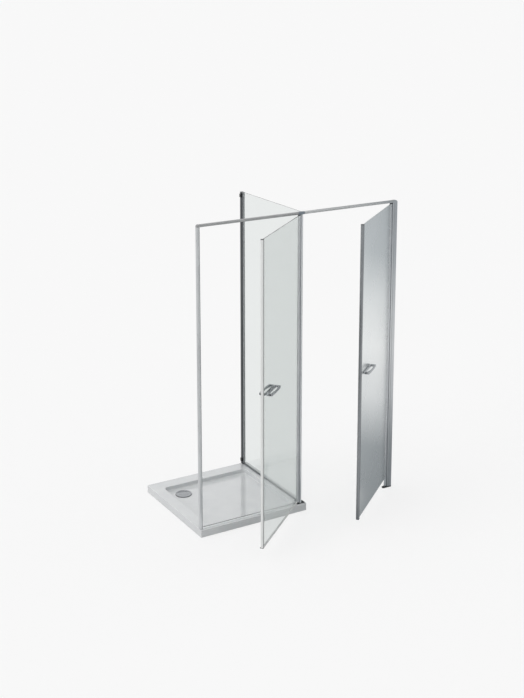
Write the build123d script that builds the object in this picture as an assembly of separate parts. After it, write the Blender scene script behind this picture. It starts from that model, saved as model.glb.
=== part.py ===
from build123d import *
import os

# Shower enclosure for a niche, in millimetres: a shower bay on its tray with a clear pivot door,
# beside a storage bay with a mirror pivot door, and a glass divider between the two bays.
# X runs along the front from left to right, Y runs to the back wall, and Z runs up.
# The origin lies on the floor under the frame's middle plane, below the middle post.
# Each door is drawn in its own frame first: X from its hinge axis to its free edge, Y outwards.

# Whole enclosure
bay_width = 755.0
frame_height = 2000.0
shower_door_opening = 40.0
mirror_door_opening = 39.0
cut_overrun = 5.0
seat_gap = 0.3
slide_clearance = 0.2
fit_clearance = 0.05

# Tray
tray_side_reach = 45.0
tray_depth = 800.0
tray_height = 50.0
tray_front_reach = 22.0
tray_corner_radius = 8.0
tray_edge_radius = 4.0
basin_depth = 30.0
basin_side_rim = 81.0
basin_back_rim = 100.0
basin_corner_radius = 28.0
basin_floor_radius = 7.0
basin_lip_radius = 3.0
underside_wall = 34.0
underside_depth = 5.0
underside_rows = 3

# Tray waste
waste_inset = 100.0
waste_hole_radius = 45.0
waste_rim_radius = 57.0
waste_rim_thickness = 3.0
waste_seal_thickness = 1.0
waste_outlet_radius = 40.0
waste_neck_wall = 4.5
waste_neck_floor_gap = 2.0
strainer_seat_depth = 4.0
strainer_seat_step = 1.0
strainer_thickness = 2.0
strainer_hole_radius = 5.0
strainer_hole_circle = 26.0
strainer_hole_count = 8
waste_cover_radius = 56.0
waste_cover_thickness = 3.0
waste_cover_edge = 1.2
waste_cover_lift = 3.0
cover_leg_radius = 3.0
cover_leg_circle = 37.0
cover_leg_count = 3

# Frame profiles
frame_depth = 22.0
profile_wall = 1.8
inner_wall = 1.5
left_channel_width = 14.0
left_profile_width = 20.0
left_insertion = 10.0
right_channel_width = 22.0
right_profile_width = 35.0
right_insertion = 16.0
rail_height = 16.0
rail_depth = 18.0
rail_tongue = 20.0
corner_radius = 7.0
connector_half_width = 22.0
post_width = 11.0
post_offset = 2.0
post_slot_depth = 8.0
post_slot_web = 1.2
threshold_height = 10.0
threshold_depth = 16.0
magnet_width = 12.0
magnet_thickness = 1.5
strike_strip_thickness = 2.0
foot_plate_thickness = 5.0
foot_plate_left = 24.0
foot_plate_right = 36.0
foot_block_height = 12.0
foot_block_flat = 9.0
foot_tongue = 15.0
right_foot_thickness = 8.0
right_foot_reach = 34.0
right_foot_floor = 2.0

# Fixings of the frame
wall_hole_radius = 3.0
wall_hole_count = 4
wall_hole_end = 100.0
side_screw_radius = 2.0
side_screw_head_radius = 4.0
side_screw_head = 2.5
side_screw_grip = 1.0
side_screw_count = 3
side_screw_end = 150.0
grub_radius = 2.0
grub_grip = 2.0

# Divider
glass_thickness = 6.0
post_gasket = 1.0
channel_height = 12.0
channel_floor = 4.5
channel_gasket_floor = 1.5
back_profile_width = 19.0
back_profile_depth = 38.0
back_profile_wall = 2.0
back_glass_gap = 12.0
back_gasket_depth = 12.0
clip_height = 24.0
clip_width = 12.0
clip_depth = 18.0
clip_radius = 4.0
clip_top_inset = 24.0
clip_bottom_inset = 34.0
clip_wall_gap = 8.0

# Door hinges
hinge_radius = 9.0
hinge_bore_radius = 6.5
hinge_side_gap = 1.0
bush_collar = 6.0
bush_spigot = 18.0
pin_radius = 4.0
pin_engagement = 14.0
pin_seat = 10.0
glazing_reach = 24.0
glazing_depth = 10.0
glazing_thickness = 14.0
glazing_gasket = 1.2

# Doors
door_top_gap = 6.0
door_rim_gap = 24.0
door_edge_gap = 2.0
edge_cap_thickness = 3.0
seal_reach = 20.0
seal_glass_depth = 10.0
seal_thickness = 18.0
seal_cap_toe = 4.0
drip_wall = 1.2
drip_grip = 6.0
drip_body = 8.0
drip_lip = 2.0
drip_floor_gap = 1.0
drip_end_gap = 1.0
mirror_thickness = 5.0
backing_thickness = 3.0
mirror_edge_reach = 15.0
mirror_edge_slot = 8.0
mirror_edge_thickness = 20.0

# Handles
handle_height = 1000.0
handle_inset = 150.0
handle_length = 170.0
handle_leg_height = 37.0
handle_bow_height = 41.0
handle_bar = 9.0
handle_leg = 11.0
handle_bow = 8.0
handle_opening_rise = 11.0
handle_thickness = 15.0
handle_corner_radius = 4.0
handle_edge_radius = 2.0
handle_stud_spacing = 120.0
handle_stud_radius = 4.0
handle_stud_grip = 6.0
handle_hole_clearance = 0.6
pad_thickness = 1.0
pad_radius = 8.0
screw_head_radius = 7.5
screw_head_thickness = 3.0
screw_cover_radius = 11.0
screw_cover_top = 2.0
screw_cover_clearance = 0.5

# Levels and planes worked out from the sizes above
rim_level = tray_height
basin_level = tray_height - basin_depth
frame_top = rim_level + frame_height
rail_level = frame_top - rail_height
left_wall = -bay_width
right_wall = bay_width
back_wall = tray_depth - tray_front_reach
tray_width = bay_width + tray_side_reach
tray_right = left_wall + tray_width
wall_hole_pitch = (frame_height - wall_hole_end * 2) / (wall_hole_count - 1)
side_screw_pitch = (frame_height - side_screw_end * 2) / (side_screw_count - 1)
half_frame = frame_depth / 2
half_rail = rail_depth / 2
half_inner = half_frame - profile_wall - slide_clearance
post_left = -post_offset
post_right = post_left + post_width
divider_centre = (post_left + post_right) / 2
left_face = left_wall + left_profile_width
left_inner_face = left_face - magnet_thickness
right_face = right_wall - right_profile_width
foot_top = rim_level + foot_plate_thickness
shower_hinge_x = post_left - hinge_side_gap - hinge_radius
mirror_hinge_x = right_face - hinge_side_gap - hinge_radius
door_top = rail_level - door_top_gap
door_bottom = rim_level + door_rim_gap
shower_door_reach = shower_hinge_x - left_face - door_edge_gap
mirror_door_reach = mirror_hinge_x - post_right - strike_strip_thickness - door_edge_gap
collar_top = rail_level - seat_gap
barrel_top = collar_top - bush_collar
shower_collar_bottom = foot_top + seat_gap
mirror_collar_bottom = right_foot_thickness + seat_gap
half_panel = (mirror_thickness + backing_thickness) / 2
mirror_back = half_panel - mirror_thickness
glass_bottom = rim_level + channel_floor + channel_gasket_floor
waste_x = left_wall + basin_side_rim + waste_inset
waste_y = back_wall - basin_back_rim - waste_inset
tongue_half_depth = half_rail - inner_wall - slide_clearance
tongue_bottom = rail_level + inner_wall + slide_clearance
tongue_top = frame_top - inner_wall - slide_clearance


def block(x_low, x_high, y_low, y_high, z_low, z_high):
    """A box between two corners."""
    centre = Pos((x_low + x_high) / 2, (y_low + y_high) / 2, (z_low + z_high) / 2)
    return centre * Box(x_high - x_low, y_high - y_low, z_high - z_low)


def upright_rod(x, y, radius, z_low, z_high):
    """A round rod that stands upright."""
    return Pos(x, y, (z_low + z_high) / 2) * Cylinder(radius, z_high - z_low)


def depth_rod(x, z, radius, y_low, y_high):
    """A round rod that lies along Y."""
    return Pos(x, (y_low + y_high) / 2, z) * Rot(90, 0, 0) * Cylinder(radius, y_high - y_low)


def width_rod(y, z, radius, x_low, x_high):
    """A round rod that lies along X."""
    return Pos((x_low + x_high) / 2, y, z) * Rot(0, 90, 0) * Cylinder(radius, x_high - x_low)


def wall_hole_levels():
    """Heights of the screw holes that hold a profile to its wall."""
    return [rim_level + wall_hole_end + wall_hole_pitch * step for step in range(wall_hole_count)]


def side_screw_levels():
    """Heights of the screws that lock an inner profile in its wall channel."""
    return [rim_level + side_screw_end + side_screw_pitch * step for step in range(side_screw_count)]


def shower_tray():
    """Square tray with a flat rim, a sunk basin, a waste hole and a ribbed underside."""
    tray = block(left_wall, tray_right, -tray_front_reach, back_wall, 0, tray_height)
    tray = fillet(tray.edges().filter_by(Axis.Z), tray_corner_radius)
    tray = fillet(tray.faces().sort_by(Axis.Z)[-1].edges(), tray_edge_radius)
    basin_top = tray_height + cut_overrun
    basin = block(left_wall + basin_side_rim, tray_right - basin_side_rim,
                  basin_side_rim - tray_front_reach, back_wall - basin_back_rim,
                  basin_level, basin_top)
    basin = fillet(basin.edges().filter_by(Axis.Z), basin_corner_radius)
    basin = fillet(basin.faces().sort_by(Axis.Z)[0].edges(), basin_floor_radius)
    tray = tray - basin
    rim = tray.faces().sort_by(Axis.Z)[-1]
    tray = fillet(rim.inner_wires()[0].edges(), basin_lip_radius)
    pocket_width = (tray_width - underside_wall * (underside_rows + 1)) / underside_rows
    pocket_depth = (tray_depth - underside_wall * (underside_rows + 1)) / underside_rows
    for column in range(underside_rows):
        for row in range(underside_rows):
            pocket_x = left_wall + underside_wall + (pocket_width + underside_wall) * column
            pocket_y = underside_wall - tray_front_reach + (pocket_depth + underside_wall) * row
            tray = tray - block(pocket_x, pocket_x + pocket_width, pocket_y, pocket_y + pocket_depth,
                                -cut_overrun, underside_depth)
    rebate = waste_rim_thickness + waste_seal_thickness
    tray = tray - upright_rod(waste_x, waste_y, waste_rim_radius + slide_clearance,
                              basin_level - rebate, basin_level + cut_overrun)
    return tray - upright_rod(waste_x, waste_y, waste_hole_radius, -cut_overrun, basin_level)


def waste_flange():
    """Metal flange in the basin floor with a short outlet neck below it."""
    rim_bottom = basin_level - waste_rim_thickness
    rim = upright_rod(waste_x, waste_y, waste_rim_radius, rim_bottom, basin_level)
    neck = upright_rod(waste_x, waste_y, waste_outlet_radius + waste_neck_wall,
                       waste_neck_floor_gap, rim_bottom)
    outlet = upright_rod(waste_x, waste_y, waste_outlet_radius, 0, basin_level)
    seat = upright_rod(waste_x, waste_y, waste_outlet_radius + strainer_seat_step,
                       basin_level - strainer_seat_depth, basin_level + cut_overrun)
    return rim + neck - outlet - seat


def waste_seal():
    """Flat rubber ring between the flange and the tray."""
    seal_top = basin_level - waste_rim_thickness
    seal_bottom = seal_top - waste_seal_thickness
    ring = upright_rod(waste_x, waste_y, waste_rim_radius, seal_bottom, seal_top)
    return ring - upright_rod(waste_x, waste_y, waste_hole_radius, 0, basin_level)


def waste_strainer():
    """Round plate with holes, seated in the flange."""
    bottom = basin_level - strainer_seat_depth
    radius = waste_outlet_radius + strainer_seat_step - slide_clearance
    plate = upright_rod(waste_x, waste_y, radius, bottom, bottom + strainer_thickness)
    for step in range(strainer_hole_count):
        hole = upright_rod(strainer_hole_circle, 0, strainer_hole_radius, 0, basin_level)
        plate = plate - Pos(waste_x, waste_y, 0) * Rot(0, 0, 360 / strainer_hole_count * step) * hole
    return plate


def waste_cover():
    """Chrome disc that stands on three legs over the strainer."""
    bottom = basin_level + waste_cover_lift
    leg_bottom = basin_level - strainer_seat_depth + strainer_thickness
    disc = upright_rod(waste_x, waste_y, waste_cover_radius, bottom, bottom + waste_cover_thickness)
    disc = fillet(disc.faces().sort_by(Axis.Z)[-1].edges(), waste_cover_edge)
    for step in range(cover_leg_count):
        leg = upright_rod(cover_leg_circle, 0, cover_leg_radius, leg_bottom, bottom)
        disc = disc + Pos(waste_x, waste_y, 0) * Rot(0, 0, 360 / cover_leg_count * step) * leg
    return disc


def side_screw_x(wall, width, insertion, side):
    """Place of the locking screws, in the middle of the stretch where the two profiles overlap."""
    return wall + side * (width - insertion / 2)


def wall_channel(wall, width, insertion, side, bottom):
    """U channel on a side wall, open towards the bay, with wall holes and locking screw holes."""
    mouth = wall + side * width
    low, high = sorted([wall, mouth])
    channel = block(low, high, -half_frame, half_frame, bottom, rail_level)
    hollow_low, hollow_high = sorted([wall + side * profile_wall, mouth + side * cut_overrun])
    half_hollow = half_frame - profile_wall
    channel = channel - block(hollow_low, hollow_high, -half_hollow, half_hollow,
                              bottom - cut_overrun, rail_level + cut_overrun)
    web_low, web_high = sorted([wall - side * cut_overrun, wall + side * (profile_wall + cut_overrun)])
    for level in wall_hole_levels():
        channel = channel - width_rod(0, level, wall_hole_radius, web_low, web_high)
    screw_x = side_screw_x(wall, width, insertion, side)
    for level in side_screw_levels():
        channel = channel - depth_rod(screw_x, level, side_screw_radius + fit_clearance,
                                      0, half_frame + cut_overrun)
    return channel


def inner_profile(wall, width, insertion, face, side, bottom):
    """Box profile that slides in a wall channel and takes up the wall's unevenness."""
    back = wall + side * (width - insertion)
    low, high = sorted([back, face])
    half_hollow = half_inner - inner_wall
    tube = block(low, high, -half_inner, half_inner, bottom, rail_level)
    tube = tube - block(low + inner_wall, high - inner_wall, -half_hollow, half_hollow,
                        bottom - cut_overrun, rail_level + cut_overrun)
    screw_x = side_screw_x(wall, width, insertion, side)
    for level in side_screw_levels():
        tube = tube - depth_rod(screw_x, level, side_screw_radius + fit_clearance,
                                0, half_inner + cut_overrun)
    return tube


def profile_screws(wall, width, insertion, side):
    """Pan head screws that lock an inner profile in its wall channel, on the side away from the user."""
    screw_x = side_screw_x(wall, width, insertion, side)
    tip = half_inner - inner_wall - side_screw_grip
    screws = []
    for level in side_screw_levels():
        shank = depth_rod(screw_x, level, side_screw_radius, tip, half_frame)
        head = depth_rod(screw_x, level, side_screw_head_radius,
                         half_frame, half_frame + side_screw_head)
        screws.append(shank + head)
    return Compound(screws)


def rail_tongue_block(x_low, x_high):
    """Tongue that fits in the hollow of the top rail."""
    return block(x_low, x_high, -tongue_half_depth, tongue_half_depth, tongue_bottom, tongue_top)


def grub_places():
    """Places along X of the grub screws that lock the top rails on their tongues."""
    half_tongue = rail_tongue / 2
    return [left_face + half_tongue, -connector_half_width - half_tongue,
            connector_half_width + half_tongue, right_face - half_tongue]


def grub_hole(x):
    """Hole for one grub screw, from the back of the rail into the tongue."""
    middle = (rail_level + frame_top) / 2
    return depth_rod(x, middle, grub_radius + fit_clearance, tongue_half_depth - grub_grip,
                     half_rail + cut_overrun)


def rail_grub_screws():
    """Four grub screws at the back of the top rails, flush with their faces."""
    middle = (rail_level + frame_top) / 2
    screws = [depth_rod(x, middle, grub_radius, tongue_half_depth - grub_grip, half_rail)
              for x in grub_places()]
    return Compound(screws)


def top_rail(x_low, x_high):
    """Box section rail along the top of one bay."""
    half_hollow = half_rail - inner_wall
    rail = block(x_low, x_high, -half_rail, half_rail, rail_level, frame_top)
    rail = rail - block(x_low - cut_overrun, x_high + cut_overrun, -half_hollow, half_hollow,
                        rail_level + inner_wall, frame_top - inner_wall)
    for x in grub_places():
        rail = rail - grub_hole(x)
    return rail


def left_top_rail():
    """Top rail of the shower bay."""
    return top_rail(left_face, -connector_half_width)


def right_top_rail():
    """Top rail of the storage bay, with a hole under it for the mirror door's upper pin."""
    rail = top_rail(connector_half_width, right_face)
    return rail - upright_rod(mirror_hinge_x, 0, pin_radius + seat_gap,
                              rail_level - cut_overrun, rail_level + inner_wall + slide_clearance)


def pin_socket(x):
    """Blind hole in the top frame for an upper hinge pin."""
    return upright_rod(x, 0, pin_radius + fit_clearance, rail_level - cut_overrun, rail_level + pin_seat)


def left_corner_cap():
    """Corner piece on top of the left profiles, with a tongue for the rail."""
    cap = block(left_wall, left_face, -half_frame, half_frame, rail_level, frame_top)
    outer = cap.edges().filter_by(Axis.Y).group_by(Axis.Z)[-1].sort_by(Axis.X)[0]
    cap = fillet(outer, corner_radius) + rail_tongue_block(left_face, left_face + rail_tongue)
    return cap - grub_hole(grub_places()[0])


def right_corner_cap():
    """Corner piece on top of the right profiles; its tongue holds the mirror door's upper pin."""
    cap = block(right_face, right_wall, -half_frame, half_frame, rail_level, frame_top)
    outer = cap.edges().filter_by(Axis.Y).group_by(Axis.Z)[-1].sort_by(Axis.X)[-1]
    cap = fillet(outer, corner_radius) + rail_tongue_block(right_face - rail_tongue, right_face)
    return cap - grub_hole(grub_places()[-1]) - pin_socket(mirror_hinge_x)


def glass_slot(z_low, z_high):
    """Cut for the divider glass and its gasket in the back of the middle post."""
    half_slot = glass_thickness / 2 + post_gasket
    return block(divider_centre - half_slot, divider_centre + half_slot,
                 half_frame - post_slot_depth, half_frame + cut_overrun, z_low, z_high)


def top_connector():
    """Block that joins the two top rails over the middle post and holds the shower door's upper pin."""
    body = block(-connector_half_width, connector_half_width, -half_frame, half_frame,
                 rail_level, frame_top)
    body = body - glass_slot(rail_level - cut_overrun, frame_top + cut_overrun)
    body = body + rail_tongue_block(-connector_half_width - rail_tongue, -connector_half_width)
    body = body + rail_tongue_block(connector_half_width, connector_half_width + rail_tongue)
    for x in grub_places():
        body = body - grub_hole(x)
    return body - pin_socket(shower_hinge_x)


def post_hollow(inset):
    """The room inside the front chamber of the middle post, drawn in by an inset."""
    front = profile_wall - half_frame + inset
    back = half_frame - post_slot_depth - post_slot_web - inset
    return block(post_left + inner_wall + inset, post_right - inner_wall - inset, front, back,
                 foot_top - cut_overrun, rail_level + cut_overrun)


def middle_post():
    """Slim fixed post between the bays, hollow in front and slotted at the back for the divider."""
    post = block(post_left, post_right, -half_frame, half_frame, foot_top, rail_level)
    post = post - post_hollow(0)
    return post - glass_slot(foot_top - cut_overrun, rail_level + cut_overrun)


def middle_post_foot():
    """Foot plate on the tray rim with a low sloping block, a tongue in the post and a pin hole."""
    plate = block(-foot_plate_left, foot_plate_right, -half_frame, half_frame, rim_level, foot_top)
    block_left = post_right + seat_gap
    block_flat = block_left + foot_block_flat
    block_top = foot_top + foot_block_height
    side = Polyline((block_left, foot_top), (block_left, block_top), (block_flat, block_top),
                    (foot_plate_right, foot_top), close=True)
    wedge = extrude(Plane.XZ.offset(-half_frame) * make_face(side), frame_depth)
    tongue = post_hollow(slide_clearance) & block(post_left, post_right, -half_frame, half_frame,
                                                  foot_top, foot_top + foot_tongue)
    foot = plate + wedge + tongue
    return foot - upright_rod(shower_hinge_x, 0, pin_radius + fit_clearance,
                              rim_level - cut_overrun, foot_top + cut_overrun)


def mirror_door_strike_strip():
    """Soft strip on the middle post that the mirror door closes against."""
    half_strip = magnet_width / 2
    return block(post_right, post_right + strike_strip_thickness, -half_strip, half_strip,
                 door_bottom, door_top)


def left_magnetic_strip():
    """Magnetic strip on the left profile that holds the shower door shut."""
    half_strip = magnet_width / 2
    return block(left_inner_face, left_face, -half_strip, half_strip, door_bottom, door_top)


def threshold_rail():
    """Low channel on the tray rim under the shower door, open at its underside."""
    half_depth = threshold_depth / 2
    left_end = left_inner_face + seat_gap
    right_end = -foot_plate_left - seat_gap
    rail = block(left_end, right_end, -half_depth, half_depth, rim_level, rim_level + threshold_height)
    edges = rail.faces().sort_by(Axis.Z)[-1].edges().filter_by(Axis.X)
    rail = fillet(edges, inner_wall)
    return rail - block(left_end - cut_overrun, right_end + cut_overrun, inner_wall - half_depth,
                        half_depth - inner_wall, rim_level - cut_overrun,
                        rim_level + threshold_height - inner_wall)


def divider_glass():
    """Fixed glass panel from the middle post to the back wall."""
    half_glass = glass_thickness / 2
    return block(divider_centre - half_glass, divider_centre + half_glass,
                 half_frame - post_slot_depth + post_gasket, back_wall - back_glass_gap,
                 glass_bottom, frame_top)


def divider_front_gasket():
    """Gasket round the front edge of the divider, in the slot of the middle post."""
    gasket = glass_slot(foot_top, rail_level)
    trimmed = gasket & block(post_left, post_right, -half_frame, half_frame, foot_top, rail_level)
    return trimmed - divider_glass()


def divider_bottom_channel():
    """Dark channel on the tray rim under the divider."""
    channel = block(post_left, post_right, half_frame, back_wall - back_profile_depth,
                    rim_level, rim_level + channel_height)
    half_slot = glass_thickness / 2 + post_gasket
    return channel - block(divider_centre - half_slot, divider_centre + half_slot,
                           half_frame - cut_overrun, back_wall - back_profile_depth + cut_overrun,
                           rim_level + channel_floor, rim_level + channel_height + cut_overrun)


def divider_bottom_gasket():
    """Gasket round the lower edge of the divider, in its channel."""
    half_slot = glass_thickness / 2 + post_gasket
    gasket = block(divider_centre - half_slot, divider_centre + half_slot,
                   half_frame, back_wall - back_profile_depth,
                   rim_level + channel_floor, rim_level + channel_height)
    return gasket - divider_glass()


def back_wall_profile():
    """Dark channel on the back wall that takes the rear edge of the divider."""
    half_width = back_profile_width / 2
    front = back_wall - back_profile_depth
    profile = block(divider_centre - half_width, divider_centre + half_width, front, back_wall,
                    rim_level, frame_top)
    half_room = half_width - back_profile_wall
    profile = profile - block(divider_centre - half_room, divider_centre + half_room,
                              front - cut_overrun, back_wall - back_profile_wall,
                              rim_level - cut_overrun, frame_top + cut_overrun)
    for level in wall_hole_levels():
        profile = profile - depth_rod(divider_centre, level, wall_hole_radius,
                                      back_wall - back_profile_wall - cut_overrun,
                                      back_wall + cut_overrun)
    return profile


def back_profile_gaskets():
    """Two gaskets that hold the divider in the back profile."""
    half_room = back_profile_width / 2 - back_profile_wall
    half_glass = glass_thickness / 2
    front = back_wall - back_profile_depth
    strips = []
    for side in (-1, 1):
        low, high = sorted([divider_centre + side * half_glass, divider_centre + side * half_room])
        strips.append(block(low, high, front, front + back_gasket_depth, glass_bottom, frame_top))
    return Compound(strips)


def back_profile_clips():
    """Two dark clips on the shower side of the back profile, near its top and its foot."""
    face = divider_centre - back_profile_width / 2
    front = back_wall - clip_wall_gap - clip_depth
    clips = []
    for middle in (frame_top - clip_top_inset, rim_level + clip_bottom_inset):
        clip = block(face - clip_width, face, front, front + clip_depth,
                     middle - clip_height / 2, middle + clip_height / 2)
        outer = clip.faces().sort_by(Axis.X)[0].edges()
        clips.append(fillet(outer, clip_radius))
    return Compound(clips)


def right_profile_foot():
    """Dark shoe under the right profiles that carries the mirror door's lower pin."""
    left_end = right_face - right_foot_reach
    shoe = block(left_end, right_wall, -half_frame, half_frame, 0, right_foot_thickness)
    ends = shoe.edges().filter_by(Axis.Z).sort_by(Axis.X)[:2]
    shoe = fillet(ends, hinge_radius)
    tongue_inset = inner_wall + slide_clearance
    tongue_left = right_face + tongue_inset
    tongue_right = right_wall - right_channel_width + right_insertion - tongue_inset
    tongue = block(tongue_left, tongue_right, tongue_inset - half_inner, half_inner - tongue_inset,
                   right_foot_thickness, right_foot_thickness + foot_tongue)
    return shoe + tongue - upright_rod(mirror_hinge_x, 0, pin_radius + fit_clearance,
                                       right_foot_floor, right_foot_thickness + cut_overrun)


def hinge_pins(x, seat_level, bearing_level):
    """Upper and lower pin of one door, fixed in the frame."""
    lower = upright_rod(x, 0, pin_radius, seat_level, bearing_level + pin_engagement)
    upper = upright_rod(x, 0, pin_radius, rail_level - pin_engagement, rail_level + pin_seat)
    return Compound([lower, upper])


def door_hinge_profile(collar_bottom, half_slot):
    """Round hinge tube with a glazing channel for the door panel."""
    bottom = collar_bottom + bush_collar
    tube = upright_rod(0, 0, hinge_radius, bottom, barrel_top)
    half_channel = glazing_thickness / 2
    top = min(door_top, barrel_top)
    channel = block(hinge_bore_radius, glazing_reach, -half_channel, half_channel, door_bottom, top)
    slot = block(glazing_reach - glazing_depth, glazing_reach + cut_overrun, -half_slot, half_slot,
                 door_bottom - cut_overrun, door_top + cut_overrun)
    bore = upright_rod(0, 0, hinge_bore_radius, bottom - cut_overrun, barrel_top + cut_overrun)
    return tube + channel - slot - bore


def door_hinge_gasket(half_glass):
    """Gasket round the panel's edge in the glazing channel."""
    half_slot = half_glass + glazing_gasket
    start = glazing_reach - glazing_depth
    top = min(door_top, barrel_top)
    gasket = block(start, glazing_reach, -half_slot, half_slot, door_bottom, top)
    return gasket - block(start + glazing_gasket, glazing_reach + cut_overrun, -half_glass, half_glass,
                          door_bottom - cut_overrun, top + cut_overrun)


def door_bush(collar_low, upward):
    """Plastic bush in one end of the hinge tube, with a collar that bears on the frame."""
    collar_high = collar_low + bush_collar
    bush = upright_rod(0, 0, hinge_radius, collar_low, collar_high)
    spigot_low = collar_high if upward else collar_low - bush_spigot
    bush = bush + upright_rod(0, 0, hinge_bore_radius - fit_clearance,
                              spigot_low, spigot_low + bush_spigot)
    bore_low = min(collar_low, spigot_low) - cut_overrun
    bore_high = max(collar_high, spigot_low + bush_spigot) + cut_overrun
    return bush - upright_rod(0, 0, pin_radius + fit_clearance, bore_low, bore_high)


def stud_places(reach):
    """Places along the door of the two handle fixings."""
    centre = reach - handle_inset
    half_spacing = handle_stud_spacing / 2
    return [centre - half_spacing, centre + half_spacing]


def panel_holes(reach, y_low, y_high):
    """Holes through a door panel for the handle fixings."""
    level = rim_level + handle_height
    radius = handle_stud_radius + handle_hole_clearance
    return [depth_rod(u, level, radius, y_low - cut_overrun, y_high + cut_overrun)
            for u in stud_places(reach)]


def door_handle(reach, base):
    """Horizontal loop handle: a flat bar along the panel and a bow in front of it."""
    centre = reach - handle_inset
    level = rim_level + handle_height
    low = level - handle_thickness / 2
    left = centre - handle_length / 2
    right = centre + handle_length / 2
    shoulder = base + handle_leg_height
    crown = base + handle_bow_height
    outline = [Line((left, base), (right, base)), Line((right, base), (right, shoulder)),
               ThreePointArc((right, shoulder), (centre, crown), (left, shoulder)),
               Line((left, shoulder), (left, base))]
    loop = extrude(Pos(0, 0, low) * make_face(outline), handle_thickness)
    loop = fillet(loop.edges().filter_by(Axis.Z), handle_corner_radius)
    bar_face = base + handle_bar
    inner_left = left + handle_leg
    inner_right = right - handle_leg
    inner_shoulder = bar_face + handle_opening_rise
    inner_crown = crown - handle_bow
    opening = [Line((inner_left, bar_face), (inner_right, bar_face)),
               Line((inner_right, bar_face), (inner_right, inner_shoulder)),
               ThreePointArc((inner_right, inner_shoulder), (centre, inner_crown),
                             (inner_left, inner_shoulder)),
               Line((inner_left, inner_shoulder), (inner_left, bar_face))]
    room = extrude(Pos(0, 0, low - cut_overrun) * make_face(opening), handle_thickness + cut_overrun * 2)
    room = fillet(room.edges().filter_by(Axis.Z), handle_corner_radius)
    loop = loop - room
    caps = loop.faces().sort_by(Axis.Z)
    loop = fillet(caps[0].edges() + caps[-1].edges(), handle_edge_radius)
    for u in stud_places(reach):
        loop = loop - depth_rod(u, level, handle_stud_radius + fit_clearance,
                                base - cut_overrun, base + handle_stud_grip)
    return loop


def handle_pads(reach, faces):
    """Soft washers between the handles and the panel, two for each panel face."""
    level = rim_level + handle_height
    pads = []
    for low, high in faces:
        for u in stud_places(reach):
            pad = depth_rod(u, level, pad_radius, low, high)
            pads.append(pad - depth_rod(u, level, handle_stud_radius + handle_hole_clearance,
                                        low - cut_overrun, high + cut_overrun))
    return Compound(pads)


def shower_door_glass():
    """Clear glass panel of the shower door."""
    half_glass = glass_thickness / 2
    start = glazing_reach - glazing_depth + glazing_gasket
    end = shower_door_reach - seal_reach + seal_glass_depth
    glass = block(start, end, -half_glass, half_glass, door_bottom, door_top)
    for hole in panel_holes(shower_door_reach, -half_glass, half_glass):
        glass = glass - hole
    return glass


def shower_door_magnetic_seal():
    """Magnetic seal pushed over the free edge of the glass."""
    half_seal = seal_thickness / 2
    half_glass = glass_thickness / 2
    start = shower_door_reach - seal_reach
    seal = block(start, shower_door_reach, -half_seal, half_seal, door_bottom, door_top)
    corners = seal.edges().filter_by(Axis.Z).group_by(Axis.X)[0]
    seal = chamfer(corners, half_seal - half_glass - drip_wall)
    return seal - block(start - cut_overrun, start + seal_glass_depth, -half_glass, half_glass,
                        door_bottom - cut_overrun, door_top + cut_overrun)


def shower_door_seal_caps():
    """Dark end caps of the magnetic seal; the lower one has a small toe on the inner side."""
    half_seal = seal_thickness / 2
    start = shower_door_reach - seal_reach + seal_glass_depth
    upper = block(start, shower_door_reach, -half_seal, half_seal,
                  door_top, door_top + edge_cap_thickness)
    lower = block(start, shower_door_reach, -half_seal - seal_cap_toe, half_seal,
                  door_bottom - edge_cap_thickness, door_bottom)
    return Compound([upper, lower])


def shower_door_drip_seal():
    """Clear seal on the lower edge of the glass, with a wiper lip over the threshold."""
    half_glass = glass_thickness / 2
    half_seal = half_glass + drip_wall
    half_lip = drip_lip / 2
    start = glazing_reach + drip_end_gap
    end = shower_door_reach - seal_reach - drip_end_gap
    lip_bottom = rim_level + threshold_height + drip_floor_gap
    seal = block(start, end, -half_seal, half_seal, door_bottom - drip_body, door_bottom + drip_grip)
    seal = seal + block(start, end, -half_lip, half_lip, lip_bottom, door_bottom)
    return seal - block(start - cut_overrun, end + cut_overrun, -half_glass, half_glass,
                        door_bottom, door_bottom + drip_grip + cut_overrun)


def shower_door_handle_studs():
    """Threaded studs through the glass that join the outer and the inner handle."""
    reach_out = glass_thickness / 2 + pad_thickness + handle_stud_grip
    level = rim_level + handle_height
    studs = [depth_rod(u, level, handle_stud_radius, -reach_out, reach_out)
             for u in stud_places(shower_door_reach)]
    return Compound(studs)


def mirror_panel(y_low, y_high):
    """One layer of the mirror door's panel."""
    start = glazing_reach - glazing_depth + glazing_gasket
    end = mirror_door_reach - mirror_edge_reach + mirror_edge_slot
    panel = block(start, end, y_low, y_high, door_bottom, door_top)
    for hole in panel_holes(mirror_door_reach, y_low, y_high):
        panel = panel - hole
    return panel


def mirror_door_edge_profile():
    """Dark aluminium profile on the free edge of the mirror door."""
    half_profile = mirror_edge_thickness / 2
    start = mirror_door_reach - mirror_edge_reach
    profile = block(start, mirror_door_reach, -half_profile, half_profile, door_bottom, door_top)
    return profile - block(start - cut_overrun, start + mirror_edge_slot, -half_panel, half_panel,
                           door_bottom - cut_overrun, door_top + cut_overrun)


def mirror_door_edge_caps():
    """End caps of the mirror door's edge profile."""
    half_profile = mirror_edge_thickness / 2
    start = mirror_door_reach - mirror_edge_reach
    caps = []
    for low in (door_top, door_bottom - edge_cap_thickness):
        caps.append(block(start, mirror_door_reach, -half_profile, half_profile,
                          low, low + edge_cap_thickness))
    return Compound(caps)


def mirror_door_handle_screws():
    """Screws from the back of the mirror door into its handle."""
    level = rim_level + handle_height
    tip = half_panel + pad_thickness + handle_stud_grip
    screws = []
    for u in stud_places(mirror_door_reach):
        shank = depth_rod(u, level, handle_stud_radius, -half_panel, tip)
        head = depth_rod(u, level, screw_head_radius, -half_panel - screw_head_thickness, -half_panel)
        screws.append(shank + head)
    return Compound(screws)


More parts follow.
